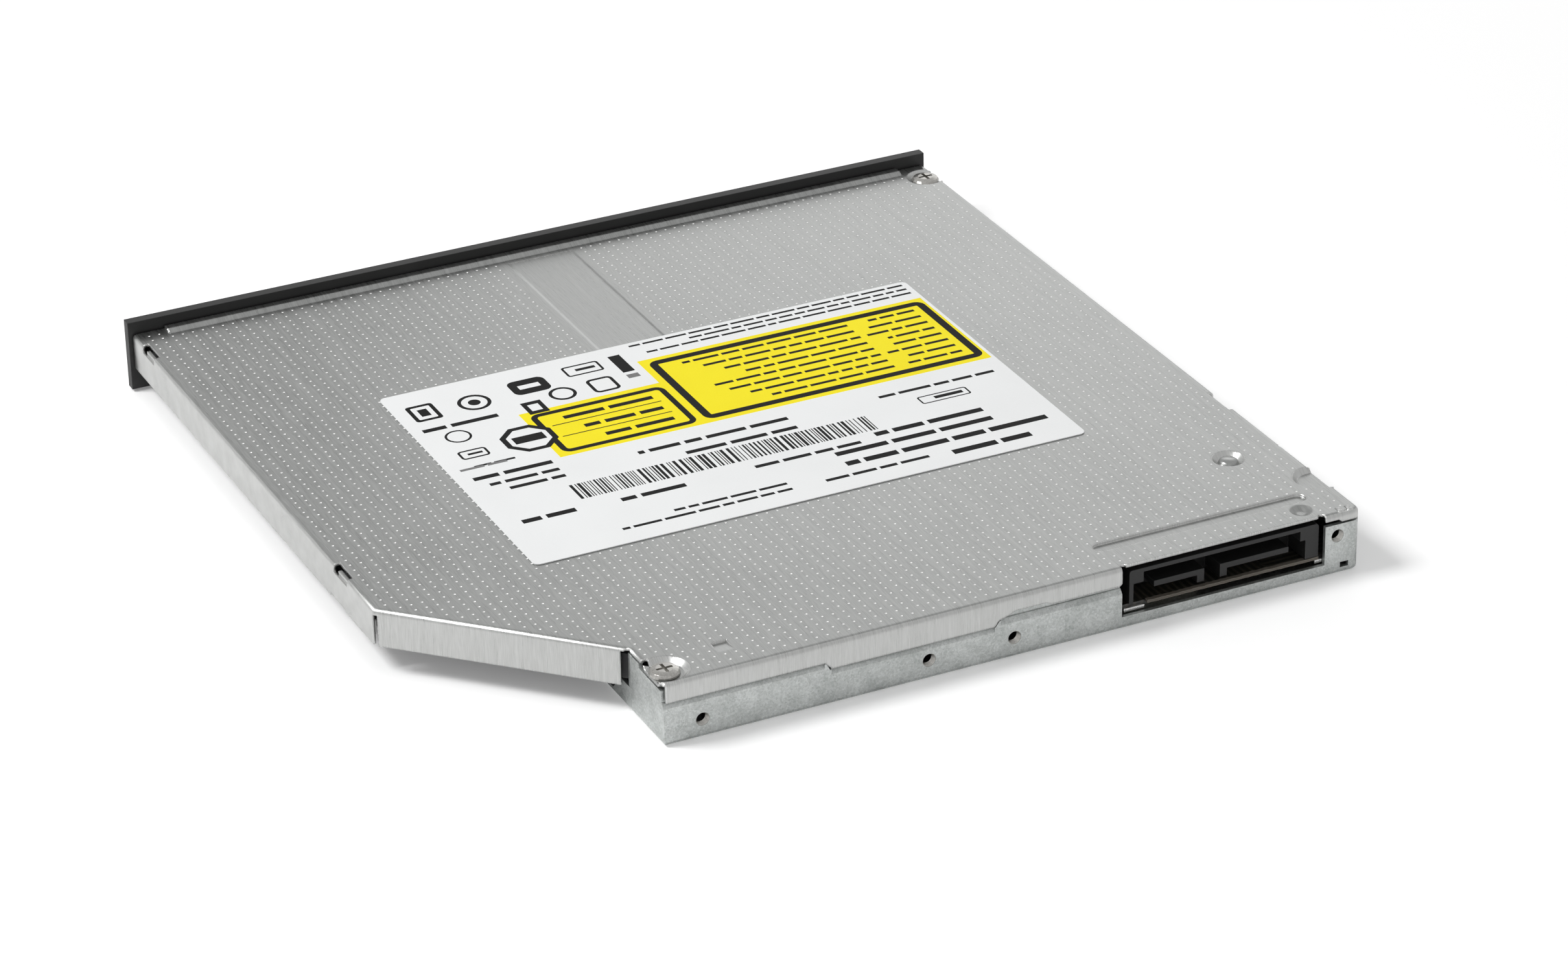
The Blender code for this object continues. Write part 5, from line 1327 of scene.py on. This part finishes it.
@dataclass
class PrintedLabel:
    """Coated sticker printed with plain panels, bars and outlines."""

    finishes: Finishes
    corner: float = 0.9
    bar_gap: float = 0.75
    narrow_gap: float = 0.8
    bar: Point = (1.6, 5.2)
    stretch: float = 1.5
    code_span: Point = (-17.4, 27.0)
    code_height: Point = (9.8, 14.2)
    code_bars: tuple[float, ...] = (0.16, 0.16, 0.3, 0.45)
    code_gaps: tuple[float, ...] = (0.2, 0.2, 0.34, 0.5)
    seed: int = 41
    bar_rows: tuple[tuple[float, float, float, float], ...] = (
        (-41.2, 2.3, -25.5, 0.5), (-41.2, -6.5, -24.1, 0.5), (-41.2, 1.0, -22.7, 0.5),
        (-7.8, 14.8, 5.0, 0.9), (-7.8, 9.0, 8.0, 0.9),
        (-32.8, -16.2, 14.9, 1.15), (-32.8, -8.4, 17.8, 1.15), (-39.6, -8.8, 20.9, 1.25),
        (-19.8, -4.2, 24.3, 0.7), (0.8, 25.8, 24.3, 0.6), (0.8, 17.5, 22.6, 0.6),
        (-35.2, -23.2, 24.5, 1.3), (-39.8, -21.5, 5.3, 0.7),
        (26.2, 37.8, 1.8, 1.0), (26.2, 36.4, 4.3, 0.8), (26.2, 35.0, 6.4, 0.8),
        (29.0, 37.5, 16.0, 1.1), (13.0, 22.5, 16.4, 1.0), (-13.5, 2.5, 16.2, 0.8),
        (30.2, 36.6, -1.4, 0.5),
    )
    marks: list[Mark] = field(default_factory=list)
    luck: random.Random = field(init=False)

    def build(self) -> bpy.types.Object:
        """Builds the sticker.

        Returns:
            The sticker, which stands for the CAD node of the label.
        """
        self.luck = random.Random(self.seed)
        self.print_large_panel()
        self.print_small_panel()
        self.print_rows()
        self.print_code_bars()
        self.print_outlines()
        low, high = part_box("rating_label")
        piece = self.cut(low / MM, high / MM)
        self.finishes.dress(piece, Stock.PAPER, Stock.YELLOW, Stock.INK, Stock.GREY_INK)
        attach(piece, "chassis")
        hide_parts("rating_label")
        LOG.info("label: %d marks, %d faces", len(self.marks), len(piece.data.polygons))
        return piece

    def patch(self, outline: Sequence[Point], ink: Ink) -> None:
        """Prints one shape.

        Args:
            outline: Its corners.
            ink: Its colour.
        """
        self.marks.append(Mark(tuple(outline), ink))

    def frame(
        self, low: Point, high: Point, thick: float, ground: Ink = Ink.PAPER, radius: float = 1.4
    ) -> None:
        """Prints a rounded black outline.

        Args:
            low: Lowest outer corner.
            high: Highest outer corner.
            thick: Width of the line.
            ground: Colour inside it.
            radius: Outer radius of its corners.
        """
        self.patch(rounded(low, high, radius), Ink.BLACK)
        inner_low = (low[0] + thick, low[1] + thick)
        inner_high = (high[0] - thick, high[1] - thick)
        self.patch(rounded(inner_low, inner_high, max(radius - thick, 0.2)), ground)

    def row(
        self, left: float, right: float, low: float, tall: float, ink: Ink = Ink.BLACK
    ) -> None:
        """Prints one row of bars of uneven length.

        Args:
            left: Lowest X.
            right: Highest X.
            low: Lowest Y.
            tall: Height of the bars.
            ink: Colour.
        """
        gap = min(self.bar_gap, tall * self.narrow_gap)
        x = left
        while x < right - tall:
            length = min(self.luck.uniform(*self.bar) * tall * self.stretch, right - x)
            self.patch(rectangle((x, low), (x + length, low + tall)), ink)
            x += length + gap

    def print_large_panel(self) -> None:
        """Large yellow panel with its outline, a column of short bars and one of long ones."""
        self.patch(rectangle((-41.6, -20.3), (3.3, 1.7)), Ink.YELLOW)
        self.frame((-41.2, -19.4), (2.2, 0.7), 1.2, Ink.YELLOW)
        for i in range(8):
            low = -17.3 + i * 2.12
            self.row(-38.9, -31.5 + (i % 3) * 1.1, low, 0.62)
            self.row(-28.2, -2.2 - (i % 4) * 2.3, low, 0.62)

    def print_small_panel(self) -> None:
        """Small yellow panel with its black outline and two thin dividing lines."""
        self.patch(rectangle((3.3, -12.8), (24.7, 1.7)), Ink.YELLOW)
        self.frame((3.4, -11.8), (23.7, 0.8), 0.9, Ink.YELLOW)
        for i in range(3):
            self.row(6.0, 19.5 - i * 1.6, -9.6 + i * 3.6, 0.95)
        for low in (-7.6, -4.0):
            self.patch(rectangle((5.4, low), (21.9, low + 0.22)), Ink.BLACK)

    def print_rows(self) -> None:
        """Rows of plain bars between the panels, and one framed row."""
        for place in self.bar_rows:
            self.row(*place)
        self.frame((-33.9, 8.1), (-26.3, 10.4), 0.25, Ink.PAPER, 0.4)
        self.row(-33.0, -27.4, 8.8, 0.8)

    def print_code_bars(self) -> None:
        """A field of upright bars of uneven width."""
        x, end = self.code_span
        low, high = self.code_height
        while x < end:
            width = self.luck.choice(self.code_bars)
            self.patch(rectangle((x, low), (x + width, high)), Ink.BLACK)
            x += width + self.luck.choice(self.code_gaps)

    def ring(
        self, centre: Point, radius: float, thick: float, sides: int, turn: float = 0.0
    ) -> None:
        """Prints an outline with equal sides.

        Args:
            centre: Middle.
            radius: Outer radius.
            thick: Width of the line.
            sides: Number of sides.
            turn: Direction of the first corner in degrees.
        """
        self.patch(polygon(centre, radius, sides, turn), Ink.BLACK)
        self.patch(polygon(centre, radius - thick, sides, turn), Ink.PAPER)

    def print_outlines(self) -> None:
        """A block of plain outlines and fields: rings, boxes, an octagon and bars."""
        self.ring((28.6, -19.2), 2.4, 0.55, 28)
        self.patch(polygon((28.6, -19.2), 0.9, 20), Ink.BLACK)
        self.frame((34.0, -22.0), (38.0, -17.0), 0.6, Ink.PAPER, 0.5)
        self.patch(rectangle((35.3, -20.6), (36.7, -18.4)), Ink.BLACK)
        self.ring((26.2, -5.6), 4.1, 0.9, 8, 22.5)
        self.patch(rectangle((23.9, -6.6), (28.5, -4.6)), Ink.BLACK)
        self.ring((34.6, -10.6), 1.9, 0.35, 24)
        self.frame((32.6, -6.2), (36.8, -3.6), 0.35, Ink.PAPER, 0.6)
        self.row(33.4, 36.2, -5.2, 0.55)
        self.frame((8.2, -23.4), (13.8, -20.2), 0.35, Ink.PAPER, 0.5)
        self.row(9.1, 13.0, -22.2, 0.7)
        self.patch(rounded((17.0, -22.6), (22.6, -18.2), 1.1), Ink.BLACK)
        self.patch(rectangle((18.2, -21.0), (21.4, -19.8)), Ink.PAPER)
        self.patch(rectangle((20.2, -15.8), (23.2, -12.0)), Ink.BLACK)
        self.patch(rectangle((20.9, -14.9), (22.5, -12.9)), Ink.PAPER)
        self.ring((16.6, -16.0), 2.0, 0.5, 24)
        self.frame((8.4, -18.2), (12.4, -13.8), 0.5, Ink.PAPER, 0.9)
        self.patch(rectangle((4.6, -23.6), (6.4, -18.0)), Ink.BLACK)
        self.patch(rectangle((4.6, -17.2), (6.4, -16.0)), Ink.GREY)
        self.row(27.2, 38.4, -14.6, 1.0)
        self.row(31.5, 38.4, -1.2, 0.6, Ink.GREY)

    def cut(self, low: Vector, high: Vector) -> bpy.types.Object:
        """Cuts the sticker's top into its printed fields.

        Args:
            low: Lowest corner of the sticker.
            high: Highest corner of the sticker.

        Returns:
            The sticker as an object.
        """
        sheet = rounded((low.x, low.y), (high.x, high.y), self.corner)
        points = [Vector(p) for p in sheet]
        edges = [(i, (i + 1) % len(sheet)) for i in range(len(sheet))]
        for mark in self.marks:
            first = len(points)
            size = len(mark.outline)
            points += [Vector(p) for p in mark.outline]
            edges += [(first + i, first + (i + 1) % size) for i in range(size)]
        found, _, faces, _, _, _ = delaunay_2d_cdt(points, edges, [], 0, JOIN_REACH)
        spots = np.array([tuple(p) for p in found])
        triangles = np.array([tuple(f) for f in faces])
        centres = spots[triangles].mean(1)
        numbers = np.zeros(len(triangles), int)
        for mark in self.marks:
            ring = np.array(mark.outline)
            numbers[inside(centres, ring, np.roll(ring, -1, 0))] = mark.ink.value
        outline = np.array(sheet)
        keep = inside(centres, outline, np.roll(outline, -1, 0))
        work = Meshwork()
        verts = [work.mesh.verts.new((x, y, high.z)) for x, y in spots]
        for triangle, number in zip(triangles[keep], numbers[keep]):
            work.mesh.faces.new([verts[i] for i in triangle]).material_index = int(number)
        rim = [edge for edge in work.mesh.edges if edge.is_boundary]
        wall = bmesh.ops.extrude_edge_only(work.mesh, edges=rim)
        lowered = [item for item in wall["geom"] if isinstance(item, bmesh.types.BMVert)]
        for vert in lowered:
            vert.co.z = low.z
        bottom = [item for item in wall["geom"] if isinstance(item, bmesh.types.BMEdge)]
        bmesh.ops.contextual_create(work.mesh, geom=[e for e in bottom if e.is_boundary])
        loose = [vert for vert in work.mesh.verts if not vert.link_faces]
        bmesh.ops.delete(work.mesh, geom=loose, context="VERTS")
        return work.finish("printed_label")


@dataclass
class Ribbons:
    """Flat cables: the folded main cable and the short cable under the pickup."""

    nodes: dict[str, bpy.types.Object]
    finishes: Finishes
    left: float = -31.5
    right: float = -40.5
    tail: tuple[Point, ...] = ((57.3, 1.45), (56.0, 1.45), (54.4, 1.3), (52.6, 0.9), (50.6, 0.72))
    start_height: float = 0.72
    end_height: float = 1.30
    fold_y: float = -28.0
    fold_radius: float = 0.13
    fold_steps: int = 8
    rise: tuple[Point, ...] = ((27.0, 1.42), (30.0, 2.0), (32.0, 2.6), (33.5, 2.8), (36.2, 2.8))
    rise_run: float = 3.0
    steps: int = 40
    sag: float = 0.12
    clamp: float = 1.0
    smooth: float = 60.0

    def build(self) -> None:
        """Builds both cables."""
        self.build_main()
        self.build_pickup()

    def strip(self, name: str, route: Sequence[Point]) -> bpy.types.Object:
        """Makes a strip across X.

        Args:
            name: Name of the piece.
            route: Places in Y and Z along it.

        Returns:
            The strip, dressed as the main ribbon.
        """
        work = Meshwork()
        work.ribbon([((self.right, y, z), (self.left, y, z)) for y, z in route])
        return self.finishes.dress(work.finish(name, self.smooth), Stock.RIBBON)

    def slope(self, start: Point, end: Point) -> list[Point]:
        """Divides a straight piece of a route.

        Args:
            start: First place in Y and Z.
            end: Last place in Y and Z.

        Returns:
            Evenly spaced places with both ends.
        """
        return [
            tuple(a + (b - a) * i / self.steps for a, b in zip(start, end))
            for i in range(self.steps + 1)
        ]

    def build_main(self) -> None:
        """The folded cable between the board in the chassis and the board on the tray."""
        tail = self.strip("ribbon_tail", self.tail)
        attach(tail, "chassis")
        middle = (self.start_height + self.end_height) / 2
        radius = self.fold_radius
        route = self.slope(
            (self.tail[-1][0], self.start_height), (self.fold_y, middle - radius)
        )
        for i in range(1, self.fold_steps):
            angle = math.radians(-90 - 180 * i / self.fold_steps)
            y = self.fold_y + radius * math.cos(angle)
            route.append((y, middle + radius * math.sin(angle)))
        last_y = self.rise[0][0] - self.rise_run
        route += self.slope((self.fold_y, middle + radius), (last_y, self.end_height))
        route += self.rise
        loop = self.strip("main_ribbon", route)
        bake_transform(loop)
        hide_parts("flex_cable")

    def build_pickup(self) -> None:
        """The short cable under the pickup, divided into sections along its length with a slight
        sag.
        """
        solid = self.nodes["pickup_flex"].data
        points = np.array([tuple(v.co) for v in solid.vertices]) / MM
        root = math.sqrt(2)
        along = (-points[:, 0] - points[:, 1]) / root
        across = (points[:, 0] - points[:, 1]) / root
        low, high = along.min(), along.max()
        pairs = []
        for i in range(self.steps + 1):
            u = low + (high - low) * i / self.steps
            z = points[:, 2].mean() + self.sag * math.sin(math.pi * i / self.steps) ** 2
            sides = (across.min(), across.max())
            pairs.append([((v - u) / root, (-v - u) / root, z) for v in sides])
        work = Meshwork()
        work.ribbon(pairs)
        piece = work.finish("pickup_ribbon", self.smooth)
        strip = self.finishes.dress(piece, Stock.PICKUP_RIBBON)
        grips = (high - self.clamp, low + self.clamp)
        ends = [Vector((-u / root, -u / root, 0)) * MM for u in grips]
        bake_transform(strip)
        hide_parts("pickup_flex")


@dataclass
class ReceptacleContacts:
    """Gilded blades under the two tongues of the receptacle."""

    finishes: Finishes
    tongue_under: float = 4.55
    blade_front: float = 63.1
    blade_back: float = 59.2
    blade_thick: float = 0.07
    blade_width: float = 0.62
    groups: tuple[tuple[float, float, int], ...] = ((-40.0, -33.3, 7), (-52.4, -43.7, 6))
    set_back: float = 0.5

    def build(self) -> None:
        """Builds the blades, every third one set back."""
        work = Meshwork()
        half = self.blade_width / 2
        for low, high, count in self.groups:
            for i in range(count):
                x = low + (high - low) * i / (count - 1)
                front = self.blade_front - (self.set_back if i % 3 == 1 else 0.0)
                work.box(
                    (x - half, self.blade_back, self.tongue_under - self.blade_thick),
                    (x + half, front, self.tongue_under),
                )
        blades = self.finishes.dress(work.finish("contact_blades"), Stock.GOLD)
        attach(blades, "chassis")


@dataclass
class RearTrim:
    """Small hardware at the rear: threads, board strips, the latch, the boss and the corner tab."""

    finishes: Finishes
    holes: tuple[Point, ...] = ((33.0, 2.7), (0.84, 2.8), (-11.6, 2.9), (-60.2, 5.8))
    hole_radius: float = 0.95
    hole_gap: float = 0.01
    wall_outside: float = 64.42
    turns: int = 4
    turn_pitch: float = 0.26
    thread_depth: float = 0.16
    thread_sides: int = 28
    strips: tuple[Point, ...] = ((-31.3, -28.2), (-61.0, -57.2))
    strip_low: float = 1.98
    strip_high: float = 2.50
    strip_back: float = 60.4
    strip_front: float = 63.75
    strip_bevel: float = 0.04
    beads: int = 9
    bead_radius: Point = (0.16, 0.27)
    bead_tip: float = 0.08
    bead_sides: int = 8
    bead_half: float = 0.05
    bead_margin: Point = (0.25, 0.2)
    lip_low: Point = (-57.6, 2.66)
    lip_high: Point = (-31.6, 3.06)
    lip_back: float = 63.3
    lip_front: float = 63.98
    lip_steps: int = 60
    lip_wander: float = 0.04
    lip_top: Point = (-0.05, 0.03)
    curls: tuple[Point, ...] = ((-61.35, -60.45), (-62.75, -61.85))
    curl_radius: float = 0.24
    curl_y: float = 64.0
    curl_z: float = 9.02
    curl_sides: int = 18
    tongue: tuple[float, float, float, float] = (0.12, 62.9, 9.08, 9.17)
    pin: tuple[Place, Place] = ((-61.85, 64.08, 8.92), (-61.35, 64.08, 8.92))
    pin_radius: float = 0.16
    pin_sides: int = 14
    latch_bevel: float = 0.03
    dish: Place = (-55.4, 43.9, 0.0)
    boss: tuple[Point, ...] = (
        (1.48, 8.42), (1.32, 8.67), (1.23, 8.87), (1.12, 8.97), (0.001, 8.98),
    )
    boss_sides: int = 36
    tab: tuple[Place, Place] = ((37.80, 53.72, 3.46), (38.36, 54.88, 8.36))
    tab_bevel: float = 0.08
    seed: int = 11

    def build(self) -> None:
        """Builds all the trim."""
        rough = random.Random(self.seed)
        self.cut_threads()
        self.lay_strips(rough)
        self.break_edge(rough)
        self.bend_latch()
        self.raise_boss()
        self.close_corner()

    def cut_threads(self) -> None:
        """Screw threads inside the holes of the rear wall."""
        crest, root = self.hole_radius - self.hole_gap, self.hole_radius - self.thread_depth
        profile = [
            (root if half % 2 else crest, self.wall_outside - half * self.turn_pitch / 2)
            for half in range(2 * self.turns + 1)
        ]
        work = Meshwork()
        for x, z in self.holes:
            work.lathe((x, 0.0, z), profile, "Y", self.thread_sides)
        threads = self.finishes.dress(work.finish("rear_hole_threads", 60.0), Stock.NICKEL)
        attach(threads, "chassis")

    def lay_strips(self, rough: random.Random) -> None:
        """Lays tinned strips with lumps of solder at both ends of the receptacle's board.

        Args:
            rough: Source of the uneven sizes.
        """
        work = Meshwork()
        under, over = self.bead_margin
        back, front = self.strip_front - self.bead_half, self.strip_front + self.bead_half
        for low, high in self.strips:
            corner = (high, self.strip_front, self.strip_high)
            work.box((low, self.strip_back, self.strip_low), corner)
            for i in range(self.beads):
                x = low + (high - low) * (i + 0.5) / self.beads
                size = rough.uniform(*self.bead_radius)
                z = rough.uniform(self.strip_low + under, self.strip_high - over)
                work.rod((x, back, z), (x, front, z), size, self.bead_sides, self.bead_tip)
        piece = work.finish("board_end_strips", bevel=self.strip_bevel)
        strips = self.finishes.dress(piece, Stock.TIN)
        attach(strips, "chassis")

    def break_edge(self, rough: random.Random) -> None:
        """Adds the rough broken edge of the board between the strips.

        Args:
            rough: Source of the uneven sizes.
        """
        (x0, z0), (x1, z1) = self.lip_low, self.lip_high
        back = self.lip_back
        rows = []
        for i in range(self.lip_steps + 1):
            x = x0 + (x1 - x0) * i / self.lip_steps
            out = self.lip_front + rough.uniform(-self.lip_wander, self.lip_wander)
            top = z1 + rough.uniform(*self.lip_top)
            rows.append([(x, back, z0), (x, out, z0), (x, out, top), (x, back, top)])
        work = Meshwork()
        work.skin(rows)
        lip = self.finishes.dress(work.finish("rough_board_edge", 25.0), Stock.BOARD_CUT)
        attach(lip, "chassis")

    def bend_latch(self) -> None:
        """Spring latch lanced out of the cover's bend at the rear right corner."""
        work = Meshwork()
        inset, back, low, high = self.tongue
        for x0, x1 in self.curls:
            start, end = (x0, self.curl_y, self.curl_z), (x1, self.curl_y, self.curl_z)
            work.rod(start, end, self.curl_radius, self.curl_sides)
            work.box((x0 + inset, back, low), (x1 - inset, self.curl_y, high))
        work.rod(*self.pin, self.pin_radius, self.pin_sides)
        piece = work.finish("corner_latch", bevel=self.latch_bevel)
        # The latch takes the lighter cover steel, which is painted light on the cover's bends.
        latch = self.finishes.dress(piece, Stock.COVER_SIDE_PAINTED_LIGHT)
        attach(latch, "chassis")

    def close_corner(self) -> None:
        """Folded tab of the pan that closes the gap beside the slanted flange."""
        work = Meshwork()
        work.box(*self.tab)
        piece = work.finish("corner_tab", bevel=self.tab_bevel)
        tab = self.finishes.dress(piece, Stock.CHASSIS)
        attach(tab, "chassis")

    def raise_boss(self) -> None:
        """Flat boss left standing in the middle of the pressed dish."""
        work = Meshwork()
        work.lathe(self.dish, self.boss, sides=self.boss_sides)
        boss = self.finishes.dress(work.finish("dish_boss", 50.0), Stock.COVER)
        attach(boss, "chassis")


@dataclass
class PickupDetails:
    """Yoke magnets of the pickup, and the ring and glass dome of its lens."""

    finishes: Finishes
    origin: Point = (1.3, -1.0)
    ring: tuple[Point, ...] = (
        (2.55, -0.75), (2.60, -0.10), (2.45, 0.06), (2.15, 0.06), (2.02, -0.06), (1.96, -0.40),
    )
    dome_radius: float = 1.97
    dome_low: float = 0.30
    dome_height: float = 0.26
    dome_steps: int = 8
    dome_hole: float = 0.001
    lens_sides: int = 40
    magnets: tuple[Point, ...] = ((17.3, 18.7), (28.4, 29.8))
    magnet_side: Point = (-3.4, 3.4)
    magnet_low: float = 0.5
    magnet_high: float = 0.22
    magnet_bevel: float = 0.06

    def build(self) -> None:
        """Builds the details of the pickup and of the lens holder."""
        self.dress_lens()
        self.dress_sled()

    def plan(self, u: float, v: float, z: float) -> Place:
        """Turns a place on the pickup's travel into X, Y and Z.

        Args:
            u: Distance along the travel.
            v: Distance across it.
            z: Height.

        Returns:
            The place.
        """
        half = math.sqrt(0.5)
        x, y = self.origin
        return (x - half * u + half * v, y - half * u - half * v, z)

    def block(self, work: Meshwork, along: Point, across: Point, low: float, high: float) -> None:
        """Adds a block that is square to the pickup's travel.

        Args:
            work: Mesh that the block is added to.
            along: Both ends along the travel.
            across: Both ends across the travel.
            low: Height of the underside.
            high: Height of the top.
        """
        corners = rectangle((along[0], across[0]), (along[1], across[1]))
        work.skin([[self.plan(u, v, z) for u, v in corners] for z in (low, high)])

    def dress_lens(self) -> None:
        """Ring and glass dome of the objective lens."""
        low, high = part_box("objective_lens")
        middle = (low + high) / 2 / MM
        centre = (middle.x, middle.y, high.z / MM)
        ring = Meshwork()
        ring.lathe(centre, self.ring, sides=self.lens_sides)
        holder = self.finishes.dress(ring.finish("lens_ring", 50.0), Stock.BLACK)
        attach(holder, "lens")
        curve = []
        for i in range(self.dome_steps + 1):
            angle = math.radians(90 * i / self.dome_steps)
            radius = self.dome_radius * math.cos(angle) + self.dome_hole
            curve.append((radius, self.dome_height * math.sin(angle) - self.dome_low))
        dome = Meshwork()
        dome.lathe(centre, curve, sides=self.lens_sides)
        glass = self.finishes.dress(dome.finish("lens_dome", 60.0), Stock.LENS)
        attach(glass, "lens")

    def dress_sled(self) -> None:
        """Yoke magnets before and behind the lens."""
        _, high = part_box("pickup_sled")
        top = high.z / MM
        work = Meshwork()
        for along in self.magnets:
            self.block(work, along, self.magnet_side, top - self.magnet_low, top + self.magnet_high)
        piece = work.finish("yoke_magnets", bevel=self.magnet_bevel)
        magnets = self.finishes.dress(piece, Stock.MOTOR)
        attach(magnets, "pickup")


@dataclass
class PlainParts:
    """CAD parts whose shape is right and that only need their finish."""

    nodes: dict[str, bpy.types.Object]
    finishes: Finishes
    stocks: dict[Stock, tuple[str, ...]] = field(
        default_factory=lambda: {
            Stock.CHASSIS: ("bottom_chassis",),
            Stock.RECEPTACLE: ("sata_receptacle",),
            Stock.BOARD_EDGE: ("connector_board",),
            Stock.NYLON: ("rear_flex_socket", "front_flex_socket", "clamp_claw_1", "clamp_claw_2",
                          "clamp_claw_3"),
            Stock.NICKEL: ("cover_screw_front_right", "cover_screw_rear_left", "board_screw",
                           "plate_screw_1", "plate_screw_2", "plate_screw_3", "plate_screw_4",
                           "damper_screw_1", "damper_screw_2", "damper_screw_3", "lock_pin",
                           "lever_pivot", "solenoid_plunger"),
            Stock.RAIL: ("left_outer_rail", "right_outer_rail", "left_mid_rail", "right_mid_rail"),
            Stock.BLACK: ("front_bezel", "eject_button", "traverse_cover", "eject_switch",
                          "objective_lens"),
            Stock.TRAY: ("tray",),
            Stock.PLATE: ("tray_bottom_plate",),
            Stock.BOARD: ("main_board",),
            Stock.RESIN: ("controller_chip", "driver_chip", "memory_chip"),
            Stock.CAST: ("traverse_frame", "pickup_sled"),
            Stock.RUBBER: ("damper_bush_1", "damper_bush_2", "damper_bush_3"),
            Stock.PAD: ("disc_pad",),
            Stock.MOTOR: ("spindle_stator", "spindle_rotor", "feed_motor"),
            Stock.GROUND: ("guide_rod_main", "guide_rod_side", "lead_screw"),
            Stock.WIRE: ("lock_solenoid",),
            Stock.LATCH: ("lock_lever", "kick_pusher"),
            Stock.GUIDE: ("activity_led",),
            Stock.RIBBON: ("flex_cable",),
            Stock.PICKUP_RIBBON: ("pickup_flex",),
        }
    )

    def build(self) -> None:
        """Dresses the parts."""
        for stock, names in self.stocks.items():
            for name in names:
                self.finishes.dress(self.nodes[name], stock)
            LOG.info("finish %s: %s", stock.name.lower(), ", ".join(names))


def corners(box: tuple[Vector, Vector]) -> list[list[float]]:
    """Writes a box as plain lists of numbers.

    Args:
        box: Lowest and highest corner.

    Returns:
        Both corners.
    """
    return [list(box[0]), list(box[1])]


def main() -> None:
    """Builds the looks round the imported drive."""
    logging.basicConfig(level=logging.INFO, format="%(name)s: %(message)s")
    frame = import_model()
    nodes = frame["nodes"]
    finishes = Finishes()
    Studio().build()
    PlainParts(nodes, finishes).build()
    DottedCover(nodes, finishes).build()
    PrintedLabel(finishes).build()
    Ribbons(nodes, finishes).build()
    ReceptacleContacts(finishes).build()
    RearTrim(finishes).build()
    PickupDetails(finishes).build()


if __name__ == "__main__":
    main()
